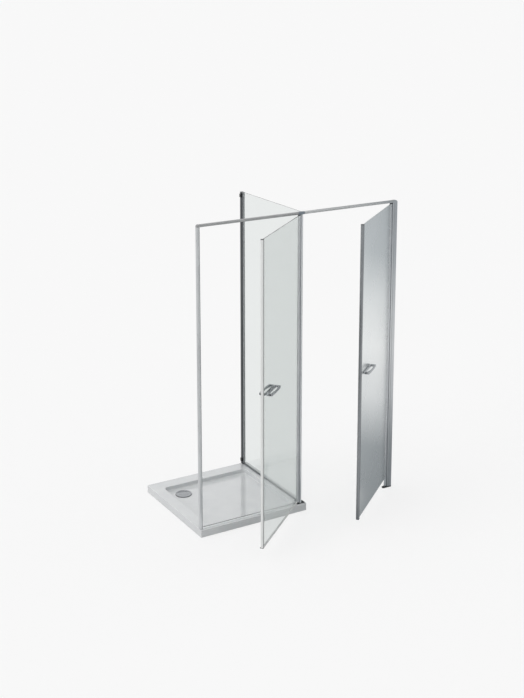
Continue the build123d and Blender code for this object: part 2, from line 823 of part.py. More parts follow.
def mirror_door_screw_covers():
    """Round covers over the screw heads at the back of the mirror door."""
    level = rim_level + handle_height
    room = screw_head_thickness + screw_cover_clearance
    covers = []
    for u in stud_places(mirror_door_reach):
        cover = depth_rod(u, level, screw_cover_radius,
                          -half_panel - room - screw_cover_top, -half_panel)
        covers.append(cover - depth_rod(u, level, screw_head_radius + screw_cover_clearance,
                                        -half_panel - room, cut_overrun - half_panel))
    return Compound(covers)


def inner_handle():
    """Handle on the shower side of the shower door, the outer one turned over."""
    base = glass_thickness / 2 + pad_thickness
    return mirror(door_handle(shower_door_reach, base), about=Plane.XZ)


def frame_pieces():
    """All pieces that stay fixed."""
    left = (left_wall, left_channel_width, left_insertion)
    right = (right_wall, right_channel_width, right_insertion)
    return {
        "shower_tray": shower_tray(),
        "waste_flange": waste_flange(),
        "waste_seal": waste_seal(),
        "waste_strainer": waste_strainer(),
        "waste_cover": waste_cover(),
        "left_wall_profile": wall_channel(*left, 1, rim_level),
        "left_inner_profile": inner_profile(*left, left_inner_face, 1, rim_level),
        "left_profile_screws": profile_screws(*left, 1),
        "left_magnetic_strip": left_magnetic_strip(),
        "left_corner_cap": left_corner_cap(),
        "left_top_rail": left_top_rail(),
        "right_top_rail": right_top_rail(),
        "top_connector": top_connector(),
        "rail_grub_screws": rail_grub_screws(),
        "middle_post": middle_post(),
        "middle_post_foot": middle_post_foot(),
        "mirror_door_strike_strip": mirror_door_strike_strip(),
        "threshold_rail": threshold_rail(),
        "divider_glass": divider_glass(),
        "divider_front_gasket": divider_front_gasket(),
        "divider_bottom_channel": divider_bottom_channel(),
        "divider_bottom_gasket": divider_bottom_gasket(),
        "back_wall_profile": back_wall_profile(),
        "back_profile_gaskets": back_profile_gaskets(),
        "back_profile_clips": back_profile_clips(),
        "right_wall_profile": wall_channel(*right, -1, right_foot_thickness),
        "right_inner_profile": inner_profile(*right, right_face, -1, right_foot_thickness),
        "right_profile_screws": profile_screws(*right, -1),
        "right_corner_cap": right_corner_cap(),
        "right_profile_foot": right_profile_foot(),
        "shower_door_hinge_pins": hinge_pins(shower_hinge_x, rim_level, foot_top),
        "mirror_door_hinge_pins": hinge_pins(mirror_hinge_x, right_foot_floor, right_foot_thickness),
    }


def shower_door_pieces():
    """All pieces that turn with the shower door, in the door's own frame."""
    half_glass = glass_thickness / 2
    half_slot = half_glass + glazing_gasket
    base = half_glass + pad_thickness
    pad_faces = [(half_glass, base), (-base, -half_glass)]
    return {
        "shower_door_glass": shower_door_glass(),
        "shower_door_hinge_profile": door_hinge_profile(shower_collar_bottom, half_slot),
        "shower_door_hinge_gasket": door_hinge_gasket(half_glass),
        "shower_door_top_bush": door_bush(barrel_top, False),
        "shower_door_bottom_bush": door_bush(shower_collar_bottom, True),
        "shower_door_magnetic_seal": shower_door_magnetic_seal(),
        "shower_door_seal_caps": shower_door_seal_caps(),
        "shower_door_drip_seal": shower_door_drip_seal(),
        "shower_door_outer_handle": door_handle(shower_door_reach, base),
        "shower_door_inner_handle": inner_handle(),
        "shower_door_handle_pads": handle_pads(shower_door_reach, pad_faces),
        "shower_door_handle_studs": shower_door_handle_studs(),
    }


def mirror_door_pieces():
    """All pieces that turn with the mirror door, in the door's own frame."""
    half_slot = half_panel + glazing_gasket
    base = half_panel + pad_thickness
    return {
        "mirror_door_glass": mirror_panel(mirror_back, half_panel),
        "mirror_door_backing": mirror_panel(-half_panel, mirror_back),
        "mirror_door_edge_profile": mirror_door_edge_profile(),
        "mirror_door_edge_caps": mirror_door_edge_caps(),
        "mirror_door_hinge_profile": door_hinge_profile(mirror_collar_bottom, half_slot),
        "mirror_door_hinge_gasket": door_hinge_gasket(half_panel),
        "mirror_door_top_bush": door_bush(barrel_top, False),
        "mirror_door_bottom_bush": door_bush(mirror_collar_bottom, True),
        "mirror_door_handle": door_handle(mirror_door_reach, base),
        "mirror_door_handle_pads": handle_pads(mirror_door_reach, [(half_panel, base)]),
        "mirror_door_handle_screws": mirror_door_handle_screws(),
        "mirror_door_screw_covers": mirror_door_screw_covers(),
    }


def hung(pieces, hinge_x, opening):
    """The pieces of one door on its hinge, opened by an angle in degrees from shut."""
    place = Pos(hinge_x, 0, 0) * Rot(0, 0, 180 + opening)
    return {name: place * piece for name, piece in pieces.items()}


def all_pieces():
    """Every piece of the enclosure at rest, with both doors standing open."""
    pieces = frame_pieces()
    pieces.update(hung(shower_door_pieces(), shower_hinge_x, shower_door_opening))
    pieces.update(hung(mirror_door_pieces(), mirror_hinge_x, mirror_door_opening))
    return pieces


os.makedirs("parts", exist_ok=True)
for name, piece in all_pieces().items():
    export_step(piece, f"parts/{name}.step")
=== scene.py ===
import logging
import math
from dataclasses import dataclass
from enum import Enum

import bmesh
import bpy
from mathutils import Euler, Matrix, Vector


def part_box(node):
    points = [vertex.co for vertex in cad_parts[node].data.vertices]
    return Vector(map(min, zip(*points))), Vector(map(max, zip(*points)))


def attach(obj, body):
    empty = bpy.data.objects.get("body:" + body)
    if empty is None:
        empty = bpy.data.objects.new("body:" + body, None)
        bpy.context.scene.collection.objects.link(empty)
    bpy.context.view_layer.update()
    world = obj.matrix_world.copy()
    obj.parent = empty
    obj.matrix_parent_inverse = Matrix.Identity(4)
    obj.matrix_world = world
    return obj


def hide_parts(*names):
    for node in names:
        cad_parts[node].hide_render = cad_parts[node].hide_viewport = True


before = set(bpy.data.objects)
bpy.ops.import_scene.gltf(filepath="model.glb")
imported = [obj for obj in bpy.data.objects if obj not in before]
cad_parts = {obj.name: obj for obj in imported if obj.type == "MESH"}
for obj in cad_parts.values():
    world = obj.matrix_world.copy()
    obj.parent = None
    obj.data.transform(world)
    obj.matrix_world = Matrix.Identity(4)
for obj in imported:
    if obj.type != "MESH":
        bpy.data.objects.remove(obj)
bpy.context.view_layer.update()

logging.basicConfig(level=logging.INFO, format="%(message)s")
log = logging.getLogger("enclosure")

MM = 0.001
# Corners nearer than this become one.
MERGE = 0.01 * MM
ROUND_SEGMENTS = 10
ARRIS_SEGMENTS = 2
UP = Vector((0, 0, 1))
# Most values of a pattern lie between these two.
MIDDLE = {"From Min": 0.3, "From Max": 0.7}
Outline = list[tuple[float, float]]


class Way(Enum):
    """The way that a bar was drawn through its die, and so the way its fine lines run."""

    NONE = (1.0, 1.0, 1.0)
    UPRIGHT = (1.0, 1.0, 0.004)
    ACROSS = (0.004, 1.0, 1.0)
    DEEP = (1.0, 0.004, 1.0)


class Body(Enum):
    """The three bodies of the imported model."""

    FRAME = "frame"
    SHOWER_DOOR = "shower_door"
    MIRROR_DOOR = "mirror_door"


def linear(hex_colour: str) -> tuple[float, float, float, float]:
    """Turns an sRGB hex colour to linear light.

    Args:
        hex_colour: Six hex digits, such as "C8CACC".

    Returns:
        Red, green, blue and a full alpha.
    """
    parts = [int(hex_colour[i:i + 2], 16) / 255 for i in (0, 2, 4)]
    light = [c / 12.92 if c <= 0.04045 else ((c + 0.055) / 1.055) ** 2.4 for c in parts]
    return (*light, 1.0)


def add_node(tree: bpy.types.NodeTree, kind: str, inputs: dict | None = None, **settings) -> bpy.types.Node:
    """Adds a node with its settings, values and links.

    Args:
        tree: The node tree that it goes into.
        kind: The node's type.
        inputs: For each input's name or number, a value or the socket that is linked to it.
        **settings: Attributes of the node.

    Returns:
        The new node.
    """
    node = tree.nodes.new(kind)
    for name, value in settings.items():
        setattr(node, name, value)
    for key, value in (inputs or {}).items():
        if isinstance(value, bpy.types.NodeSocket):
            tree.links.new(value, node.inputs[key])
        else:
            node.inputs[key].default_value = value
    return node


def empty_material(name: str) -> tuple[bpy.types.Material, bpy.types.NodeTree]:
    """A material with an empty node tree.

    Args:
        name: The material's name.

    Returns:
        The material and its node tree.
    """
    material = bpy.data.materials.new(name)
    material.use_nodes = True
    material.node_tree.nodes.clear()
    return material, material.node_tree


def pattern(tree: bpy.types.NodeTree, size_mm: float, stretch: tuple[float, float, float] = Way.NONE.value,
            detail: float = 3.0) -> bpy.types.NodeSocket:
    """A cloudy pattern on object coordinates.

    Args:
        tree: The node tree that it goes into.
        size_mm: The size of one patch, in millimetres.
        stretch: How much of that each axis keeps; a small share draws the pattern out along it.
        detail: How many finer layers the pattern has.

    Returns:
        The socket with a value between 0 and 1.
    """
    place = add_node(tree, "ShaderNodeTexCoord")
    drawn = add_node(tree, "ShaderNodeMapping", {"Vector": place.outputs["Object"], "Scale": stretch})
    noise = add_node(tree, "ShaderNodeTexNoise", {
        "Vector": drawn.outputs["Vector"], "Scale": 1 / (size_mm * MM), "Detail": detail,
    })
    return noise.outputs["Fac"]


@dataclass(frozen=True)
class Skin:
    """A plain solid finish with a fine grain: the base of most finishes here.

    The grain varies the colour and the roughness and lifts the surface a little, as a real etched,
    moulded, cast or turned skin does.

    Attributes:
        name: The material's name.
        light: The lighter hex colour of its clouding.
        dark: The darker one.
        grain_mm: The size of its grain, in millimetres.
        rough_low: Its roughness in the hollows of the grain.
        rough_high: Its roughness on top of it.
        depth_mm: How far the grain stands out, in millimetres.
        strength: How strongly that shows.
        metal: 1 for bare metal, 0 for all else.
        way: The way that its grain is drawn out.
        patch_mm: The size of its cloudy patches, or 0 where the colour follows the grain.
    """

    name: str
    light: str
    dark: str
    grain_mm: float
    rough_low: float
    rough_high: float
    depth_mm: float = 0.05
    strength: float = 0.25
    metal: float = 0.0
    way: Way = Way.NONE
    patch_mm: float = 0.0

    def extras(self) -> dict:
        """Values that a certain finish adds to the shader."""
        return {}

    def make(self) -> bpy.types.Material:
        """Makes the material.

        Returns:
            The new material.
        """
        material, tree = empty_material(self.name)
        grain = pattern(tree, self.grain_mm, self.way.value)
        cloud = pattern(tree, self.patch_mm, detail=2.0) if self.patch_mm else grain
        share = add_node(tree, "ShaderNodeMapRange", {"Value": cloud, **MIDDLE})
        colour = add_node(tree, "ShaderNodeMix", {
            0: share.outputs["Result"], 6: linear(self.light), 7: linear(self.dark),
        }, data_type="RGBA")
        rough = add_node(tree, "ShaderNodeMapRange", {
            "Value": grain, **MIDDLE, "To Min": self.rough_low, "To Max": self.rough_high,
        })
        relief = add_node(tree, "ShaderNodeBump", {
            "Height": grain, "Distance": self.depth_mm * MM, "Strength": self.strength,
        })
        shader = add_node(tree, "ShaderNodeBsdfPrincipled", {
            "Base Color": colour.outputs[2],
            "Metallic": self.metal,
            "Roughness": rough.outputs["Result"],
            "Normal": relief.outputs["Normal"],
            **self.extras(),
        })
        add_node(tree, "ShaderNodeOutputMaterial", {"Surface": shader.outputs["BSDF"]})
        return material


@dataclass(frozen=True)
class Anodised(Skin):
    """Extruded aluminium, etched and anodised: a soft sheen with faint die lines along the bar.

    The real die lines are a tenth of a millimetre apart; they are drawn coarser so that they show.
    """

    grain_mm: float = 1.6
    rough_low: float = 0.30
    rough_high: float = 0.40
    depth_mm: float = 0.06
    metal: float = 1.0
    patch_mm: float = 160.0


@dataclass(frozen=True)
class GlazedTray(Skin):
    """White sanitary glaze over a cast body: deep gloss on a surface that is never quite flat."""

    def extras(self) -> dict:
        """A clear coat stands for the glassy top of the glaze."""
        return {"IOR": 1.52, "Coat Weight": 0.6, "Coat Roughness": 0.05}


@dataclass(frozen=True)
class ClearVinyl(Skin):
    """Extruded soft vinyl, milky or clear, with faint lines along its length."""

    clearness: float = 0.08

    def extras(self) -> dict:
        """A part of the light goes through."""
        return {"IOR": 1.53, "Transmission Weight": self.clearness}


@dataclass(frozen=True)
class ClearGlass:
    """Toughened float glass, polished on both faces; lamps shine through it without a dark shadow.

    Attributes:
        name: The material's name.
        tint: The hex colour that it gives to what is seen through it.
        shadow: The hex colour of its own light shadow.
        film_mm: The size of the faint smears on it, in millimetres.
        film_stretch: How much of that each axis keeps.
        film_rough: Its roughness under the thickest smears.
    """

    name: str
    tint: str = "EDF0EF"
    shadow: str = "DCDFDE"
    film_mm: float = 240.0
    film_stretch: tuple[float, float, float] = (1.0, 1.0, 0.4)
    film_rough: float = 0.012

    def make(self) -> bpy.types.Material:
        """Makes the material.

        Returns:
            The new material.
        """
        material, tree = empty_material(self.name)
        film = pattern(tree, self.film_mm, self.film_stretch, detail=2.0)
        rough = add_node(tree, "ShaderNodeMapRange", {"Value": film, **MIDDLE, "To Max": self.film_rough})
        glass = add_node(tree, "ShaderNodeBsdfPrincipled", {
            "Base Color": linear(self.tint),
            "Roughness": rough.outputs["Result"],
            "IOR": 1.5,
            "Transmission Weight": 1.0,
        })
        clear = add_node(tree, "ShaderNodeBsdfTransparent", {"Color": linear(self.shadow)})
        path = add_node(tree, "ShaderNodeLightPath")
        both = add_node(tree, "ShaderNodeMixShader", {
            0: path.outputs["Is Shadow Ray"], 1: glass.outputs["BSDF"], 2: clear.outputs["BSDF"],
        })
        add_node(tree, "ShaderNodeOutputMaterial", {"Surface": both.outputs["Shader"]})
        return material


class Finishes:
    """Every finish of the enclosure, made once."""

    def __init__(self) -> None:
        """Makes each finish."""
        self.tray = GlazedTray("glazed_ceramic", "D8DADB", "D2D4D6", 7.0, 0.08, 0.15, 0.05, 0.12,
                               patch_mm=120.0).make()
        # The anodised bars, each in the tone that it has in the photograph.
        # The grey ones are the darker aluminium of the mirror door's edge and the divider's channel; on the
        # left inner profile the grey is painted shade.
        # The threshold's and the bright one are lighter copies: painted light. The left rail's and the
        # near-black one are darker copies: painted shade, the near-black one on the back channel's shower
        # side.
        # They are lighter and darker copies of one aluminium, with painted light and shade: the first is the
        # plain tone, and the right rail's is close to it.
        self.upright = Anodised("anodised_aluminium_upright", "CACCCE", "C3C5C7", way=Way.UPRIGHT).make()
        self.across = Anodised("painted_light_anodised_aluminium_across", "ECEEEF", "E5E7E8", way=Way.ACROSS).make()
        self.rail = Anodised("anodised_aluminium_rail", "A5A6A7", "9D9E9F", way=Way.ACROSS).make()
        self.pale_rail = Anodised("pale_anodised_aluminium_rail", "C8C9CA", "C0C1C2", way=Way.ACROSS).make()
        self.bright = Anodised("painted_light_anodised_aluminium", "E0E2E4", "D9DBDD", way=Way.UPRIGHT).make()
        self.painted_shade = Anodised("painted_shade_anodised_aluminium", "46494C", "3E4144", way=Way.UPRIGHT).make()
        self.grey = Anodised("grey_anodised_aluminium", "8C8F92", "84878A", way=Way.UPRIGHT).make()
        self.grey_deep = Anodised("grey_anodised_aluminium_deep", "8C8F92", "84878A", way=Way.DEEP).make()
        # Die-cast zinc alloy under a blue-grey lacquer: smooth, with a faint cloudy skin.
        self.alloy = Skin("lacquered_zinc_alloy", "8C949C", "7C848C", 3.0, 0.32, 0.44, metal=1.0).make()
        # Chromium plate on polished zinc alloy: a clear mirror with the faintest smears of use.
        self.chrome = Skin("chrome_plate", "A8ABAE", "9DA0A3", 9.0, 0.05, 0.11, 0.01, 0.05, 1.0).make()
        # Stainless steel from a lathe or a press: a fine even grain, drawn coarser so that it shows.
        self.steel = Skin("stainless_steel", "A9ABAD", "8E9092", 0.8, 0.22, 0.34, 0.03, 0.2, 1.0).make()
        self.glass = ClearGlass("toughened_glass").make()
        # Glass silvered on its back, with a finely satined face: its reflections are soft and a touch cool.
        self.mirror = Skin("satin_mirror", "EEEFEF", "E8EAEA", 300.0, 0.25, 0.29, 0.01, 0.02, 1.0).make()
        # Safety film on the back of the mirror: white, with a soft orange-peel skin.
        self.backing = Skin("white_backing_film", "F0F2F2", "E8EBEB", 14.0, 0.38, 0.52, 0.08, 0.3).make()
        # Extruded or moulded rubber: matt, with a fine bloom.
        self.rubber = Skin("grey_rubber", "7C7F80", "6A6D6E", 2.5, 0.50, 0.68, 0.06, 0.3).make()
        # The same rubber in a lighter grey, for gaskets and pads that hardly show against the metal; on the
        # hinge gaskets the lighter grey is painted light in the shaded gap by the tube.
        self.pale_rubber = Skin("pale_grey_rubber", "C2C5C6", "B4B7B8", 2.5, 0.50, 0.68, 0.06, 0.3).make()
        # Rubber-bound magnet tape: smooth, slightly shiny, grey.
        self.magnet = Skin("magnet_tape", "7E8182", "727576", 2.0, 0.40, 0.52, 0.04, 0.2).make()
        self.vinyl = ClearVinyl("milky_vinyl", "F8F9F8", "F0F2F1", 1.8, 0.28, 0.40, 0.05, 0.2,
                                way=Way.UPRIGHT).make()
        self.clear_vinyl = ClearVinyl("clear_vinyl", "FBFCFB", "F6F7F6", 1.8, 0.16, 0.26, 0.03, 0.15,
                                      way=Way.ACROSS, clearness=0.3).make()
        # Moulded glass-filled nylon with a fine spark grain.
        self.plastic = Skin("dark_moulded_plastic", "3C3E40", "2C2E30", 1.2, 0.38, 0.52, 0.08, 0.35).make()


def dress(material: bpy.types.Material, *nodes: str) -> None:
    """Gives CAD nodes a material.

    Args:
        material: The material.
        *nodes: The names of the nodes.
    """
    for name in nodes:
        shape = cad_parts[name]
        shape.data.materials.clear()
        shape.data.materials.append(material)
        log.info("dressed %s in %s", name, material.name)


def new_object(bm: bmesh.types.BMesh, name: str, material: bpy.types.Material) -> bpy.types.Object:
    """Turns a finished bmesh to an object at the origin.

    Args:
        bm: The shape, in metres, in place. It is freed.
        name: The object's name.
        material: Its material.

    Returns:
        The new object.
    """
    mesh = bpy.data.meshes.new(name)
    bm.to_mesh(mesh)
    bm.free()
    mesh.materials.append(material)
    shape = bpy.data.objects.new(name, mesh)
    bpy.context.scene.collection.objects.link(shape)
    return shape


def place_piece(bm: bmesh.types.BMesh, name: str, material: bpy.types.Material, body: Body, slot: str,
                *replaced: str, smooth_degrees: float = 35.0) -> None:
    """Turns a finished bmesh to a piece of the object.

    Args:
        bm: The shape, in metres, in place. It is freed.
        name: The piece's name.
        material: Its material.
        body: The body that it rides on.
        slot: The record's material slot; not used.
        *replaced: The CAD nodes that it stands for.
        smooth_degrees: Edges flatter than this are shaded smooth.
    """
    bmesh.ops.recalc_face_normals(bm, faces=bm.faces[:])
    piece = new_object(bm, name, material)
    piece.data.shade_smooth()
    piece.data.set_sharp_from_angle(angle=math.radians(smooth_degrees))
    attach(piece, body.value)
    if replaced:
        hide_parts(*replaced)
    log.info("piece %s on %s: %d faces", name, body.value, len(piece.data.polygons))


def lengthen(bm: bmesh.types.BMesh, faces: list[bmesh.types.BMFace], step: Vector) -> None:
    """Draws flat faces out to a solid.

    Args:
        bm: The bmesh.
        faces: The faces of a flat outline.
        step: How far and which way.
    """
    grown = bmesh.ops.extrude_face_region(bm, geom=faces)
    verts = [part for part in grown["geom"] if isinstance(part, bmesh.types.BMVert)]
    bmesh.ops.translate(bm, verts=verts, vec=step)


def bar(outline: Outline, low: float, high: float, arris: float, bm: bmesh.types.BMesh | None = None,
        rounds: dict[int, float] | None = None) -> bmesh.types.BMesh:
    """An upright bar with an outline in X and Y, with rounded arrises.

    Args:
        outline: The corners in order, in metres.
        low: The height of its lower end.
        high: The height of its upper end.
        arris: The radius of its long edges.
        bm: The bmesh that it is added to, or None for a new one.
        rounds: The radius of each corner that is rounder than that, by its number in the outline.

    Returns:
        The bmesh with the bar.
    """
    bm = bm or bmesh.new()
    rounds = rounds or {}
    old = set(bm.faces)
    corners = [bm.verts.new((x, y, low)) for x, y in outline]
    bm.faces.new(corners)
    for number, radius in rounds.items():
        bmesh.ops.bevel(bm, geom=[corners[number]], offset=radius, segments=ROUND_SEGMENTS, profile=0.5,
                        affect="VERTICES", material=-1)
    sharp = [corner for number, corner in enumerate(corners) if number not in rounds]
    bmesh.ops.bevel(bm, geom=sharp, offset=arris, segments=ARRIS_SEGMENTS, profile=0.5,
                    affect="VERTICES", material=-1)
    lengthen(bm, [face for face in bm.faces if face not in old], Vector((0, 0, high - low)))
    return bm


def both_sides(half: Outline) -> Outline:
    """Closes the upper half of an outline with its mirror image below the first axis."""
    return half + [(x, -y) for x, y in reversed(half)]


def oblong(first: tuple[float, float], third: tuple[float, float]) -> Outline:
    """The four corners of an oblong, from its first and its third one."""
    return [first, (third[0], first[1]), third, (first[0], third[1])]


def slotted(node: str, filler: str, plane: str) -> Outline:
    """The outline of a bar with a slot in its upper side.

    Args:
        node: The CAD node of the bar.
        filler: The CAD node of the piece that stands in the slot.
        plane: The two axes of the outline, such as "xy".

    Returns:
        The eight corners.
    """
    (left, base), (right, top) = (getattr(corner, plane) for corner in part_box(node))
    (slot_left, slot_base), (slot_right, _) = (getattr(corner, plane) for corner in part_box(filler))
    return [(left, base), (right, base), (right, top), (slot_right, top), (slot_right, slot_base),
            (slot_left, slot_base), (slot_left, top), (left, top)]


def lay(bm: bmesh.types.BMesh, axis: str) -> bmesh.types.BMesh:
    """Turns an upright bar so that its height runs along another axis.

    Args:
        bm: The bar. With "X" its first axis turns upwards, with "Y" its second one does.
        axis: "X" or "Y".

    Returns:
        The same bmesh.
    """
    rows = {"X": ((0, 0, 1, 0), (0, 1, 0, 0), (1, 0, 0, 0), (0, 0, 0, 1)),
            "Y": ((1, 0, 0, 0), (0, 0, 1, 0), (0, 1, 0, 0), (0, 0, 0, 1))}
    bmesh.ops.transform(bm, matrix=Matrix(rows[axis]), verts=bm.verts[:])
    return bm


def turned(rings: Outline, place: Vector, steps: int, bm: bmesh.types.BMesh | None = None,
           toward: Vector = UP) -> bmesh.types.BMesh:
    """Turns a shape as on a lathe.

    Args:
        rings: Radius and height of each corner of its profile, from one end to the other.
        place: Where its axis starts.
        steps: How many facets it has round its axis.
        bm: The bmesh that it is added to, or None for a new one.
        toward: The way that its height runs.

    Returns:
        The bmesh with the shape.
    """
    bm = bm or bmesh.new()
    old = set(bm.verts)
    chain = [bm.verts.new((radius, 0, height)) for radius, height in rings]
    edges = [bm.edges.new(pair) for pair in zip(chain, chain[1:])]
    bmesh.ops.spin(bm, geom=chain + edges, cent=(0, 0, 0), axis=(0, 0, 1), angle=math.tau, steps=steps,
                   use_merge=True)
    fresh = [vert for vert in bm.verts if vert not in old]
    bmesh.ops.remove_doubles(bm, verts=fresh, dist=MERGE)
    fresh = [vert for vert in bm.verts if vert not in old]
    matrix = Matrix.Translation(place) @ toward.to_track_quat("Z", "Y").to_matrix().to_4x4()
    bmesh.ops.transform(bm, matrix=matrix, verts=fresh)
    return bm


@dataclass
class Tray:
    """The tray with its waste."""

    finishes: Finishes
    dome: float = 0.9 * MM
    cover_depth: float = 3 * MM
    groove_radius: float = 40 * MM
    groove_half: float = 1 * MM
    rim: float = 3 * MM
    rim_drop: float = 2 * MM
    edge: float = 0.5 * MM
    leg_circle: float = 37 * MM
    leg_radius: float = 3 * MM
    leg_count: int = 3
    leg_facets: int = 24
    facets: int = 96

    def waste_cover(self) -> None:
        """Turns the domed cover with its fine groove and puts it on three legs."""
        low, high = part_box("waste_cover")
        centre = Vector(((low.x + high.x) / 2, (low.y + high.y) / 2, 0))
        radius = (high.x - low.x) / 2
        top, under = high.z, high.z - self.cover_depth
        groove, dome = self.groove_radius, self.dome
        rings = [(0, top), (groove / 2, top - dome / 8), (groove - self.groove_half, top - dome / 3),
                 (groove, top - dome), (groove + self.groove_half, top - dome / 2),
                 (radius - self.rim, top - dome), (radius - self.rim / 3, top - dome * 3 / 2),
                 (radius, top - self.rim_drop), (radius - self.edge, under), (0, under)]
        bm = turned(rings, centre, self.facets)
        leg = self.leg_radius
        rings = [(0, low.z), (leg - self.edge, low.z), (leg, low.z + self.edge), (leg, under), (0, under)]
        for number in range(self.leg_count):
            turn = Matrix.Rotation(math.tau * number / self.leg_count, 3, "Z")
            turned(rings, centre + turn @ Vector((self.leg_circle, 0, 0)), self.leg_facets, bm)
        place_piece(bm, "waste_cover_dome", self.finishes.chrome, Body.FRAME, "chrome", "waste_cover")

    def build(self) -> None:
        """Builds the waste cover and dresses the rest."""
        self.waste_cover()
        dress(self.finishes.tray, "shower_tray")
        dress(self.finishes.chrome, "waste_flange")
        dress(self.finishes.steel, "waste_strainer")
        dress(self.finishes.rubber, "waste_seal")


@dataclass
class WallFrame:
    """Profiles at the sides, the rails over the doors, the middle post and the threshold."""

    finishes: Finishes
    arris: float = 0.7 * MM
    # The corner caps and their tongues in the rails.
    cap_radius: float = 13 * MM
    cap_tongue: float = 20 * MM
    tongue_inset: float = 2.2 * MM
    # The threshold's upright foot, its slope, and the groove with the soft strip.
    sill_foot: float = 3 * MM
    sill_slope: float = 5.5 * MM
    sill_crest: float = 1 * MM
    sill_back: float = 1.5 * MM
    strip_depth: float = 2.5 * MM
    clearance: float = 0.1 * MM
    # The groove of the inner profiles: half its width, and how far off the middle it runs.
    groove: float = 1 * MM
    groove_share: float = 0.2
    # The plate under the middle post and the sloping block on it.
    foot_plate: float = 5 * MM
    foot_gap: float = 0.3 * MM
    foot_slope: float = 9 * MM
    foot_crest: float = 12 * MM
    # The locking screws; the shares are the radius and the height of the head's rounded edge.
    screw_levels: tuple[float, ...] = (200 * MM, 1050 * MM, 1900 * MM)
    screw_shank: float = 2 * MM
    screw_head: float = 4 * MM
    head_height: float = 2.5 * MM
    head_shares: tuple[tuple[float, float], ...] = ((1, 0.56), (0.875, 0.84), (0.65, 1))
    socket: float = 1.5 * MM
    screw_facets: int = 24

    def top_rail(self, node: str, material: bpy.types.Material) -> None:
        """Builds a rail over a bay: a plain box section with rounded arrises.

        Args:
            node: The CAD node that it stands for.
            material: Its finish.
        """
        low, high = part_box(node)
        bm = lay(bar(oblong((low.z, low.y), (high.z, high.y)), low.x, high.x, self.arris), "X")
        place_piece(bm, f"{node}_bar", material, Body.FRAME, "bright_aluminium", node)

    def corner_cap(self, node: str, material: bpy.types.Material, side: int) -> None:
        """Builds the piece at an outer top corner, rounded outside, with a tongue into the rail.

        Args:
            node: The CAD node that it stands for.
            material: Its finish.
            side: 1 at the right end, -1 at the left one.
        """
        low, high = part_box(node)
        outside = high.x if side > 0 else low.x
        inside = low.x + self.cap_tongue if side > 0 else high.x - self.cap_tongue
        block = oblong((inside, low.z), (outside, high.z))
        bm = bar(block, low.y, high.y, self.arris, rounds={2: self.cap_radius})
        inset = self.tongue_inset
        tongue = oblong((inside - side * self.cap_tongue, low.z + inset),
                        (inside + side * inset, high.z - inset))
        bar(tongue, low.y + 2 * inset, high.y - 2 * inset, self.arris, bm)
        place_piece(lay(bm, "Y"), f"{node}_block", material, Body.FRAME, "bright_aluminium", node)

    def threshold(self) -> None:
        """Builds the low rail on the tray, sloping in front, and the soft strip in the groove of its top."""
        low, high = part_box("threshold_rail")
        front, back = low.y + self.sill_slope, high.y - self.sill_back
        foot = high.z - self.strip_depth
        outline = [(low.z, low.y), (low.z + self.sill_foot, low.y), (high.z, front - self.sill_crest),
                   (high.z, front), (foot, front), (foot, back), (high.z, back), (high.z, high.y),
                   (low.z, high.y)]
        bm = lay(bar(outline, low.x, high.x, self.arris / 2), "X")
        # The bar takes the lightest copy of the aluminium: painted light.
        place_piece(bm, "threshold_rail_bar", self.finishes.across, Body.FRAME, "bright_aluminium",
                    "threshold_rail")
        gap = self.clearance
        # A dark grey rubber strip fills the groove and draws a dark line along the threshold's top.
        strip = oblong((foot + gap, front + gap), (high.z - gap, back - gap))
        bm = lay(bar(strip, low.x + gap, high.x - gap, self.arris / 2), "X")
        place_piece(bm, "threshold_dark_strip", self.finishes.rubber, Body.FRAME, "grey_gasket")

    def grooved_upright(self, node: str, material: bpy.types.Material, side: int) -> None:
        """Builds an inner profile with a fine groove down its front and back face.

        Args:
            node: The CAD node that it stands for.
            material: Its finish.
            side: 1 where the groove is nearer its right edge, -1 where it is nearer its left one.
        """
        low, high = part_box(node)
        middle = (low.x + high.x) / 2 + side * (high.x - low.x) * self.groove_share
        left, right, floor = middle - self.groove, middle + self.groove, high.y - self.groove
        half = [(low.x, high.y), (left, high.y), (left, floor), (right, floor), (right, high.y),
                (high.x, high.y)]
        bm = bar(both_sides(half), low.z, high.z, self.arris / 2)
        place_piece(bm, f"{node}_bar", material, Body.FRAME, "bright_aluminium", node)

    def middle_post(self) -> None:
        """Builds the slim post with the slot that takes the divider."""
        low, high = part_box("middle_post")
        bm = bar(slotted("middle_post", "divider_front_gasket", "xy"), low.z, high.z, self.arris / 2)
        # The post takes a lighter copy of the aluminium: painted light.
        place_piece(bm, "middle_post_bar", self.finishes.bright, Body.FRAME, "bright_aluminium",
                    "middle_post")

    def post_foot(self) -> None:
        """Builds the foot plate with its sloping block."""
        low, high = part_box("middle_post_foot")
        plate = low.z + self.foot_plate
        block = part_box("middle_post")[1].x + self.foot_gap
        crest = plate + self.foot_crest
        outline = [(low.x, low.z), (high.x, low.z), (high.x, plate), (block + self.foot_slope, crest),
                   (block, crest), (block, plate), (low.x, plate)]
        bm = lay(bar(outline, low.y, high.y, self.arris), "Y")
        place_piece(bm, "middle_post_foot_plate", self.finishes.plastic, Body.FRAME, "dark_plastic",
                    "middle_post_foot")

    def side_screws(self, node: str) -> None:
        """Turns the locking screws of one side, each with a socket for a hexagon key.

        Args:
            node: The CAD node with the screws.
        """
        low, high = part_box(node)
        head = self.head_height
        reach = high.y - low.y - head
        rings = [(0, -reach), (self.screw_shank, -reach), (self.screw_shank, 0), (self.screw_head, 0)]
        rings += [(self.screw_head * across, head * along) for across, along in self.head_shares]
        rings += [(self.socket, head), (self.socket, head / 3), (0, head / 3)]
        bm = bmesh.new()
        for level in self.screw_levels:
            place = Vector(((low.x + high.x) / 2, high.y - head, level))
            turned(rings, place, self.screw_facets, bm, toward=Vector((0, 1, 0)))
        place_piece(bm, f"{node}_heads", self.finishes.steel, Body.FRAME, "steel", node)

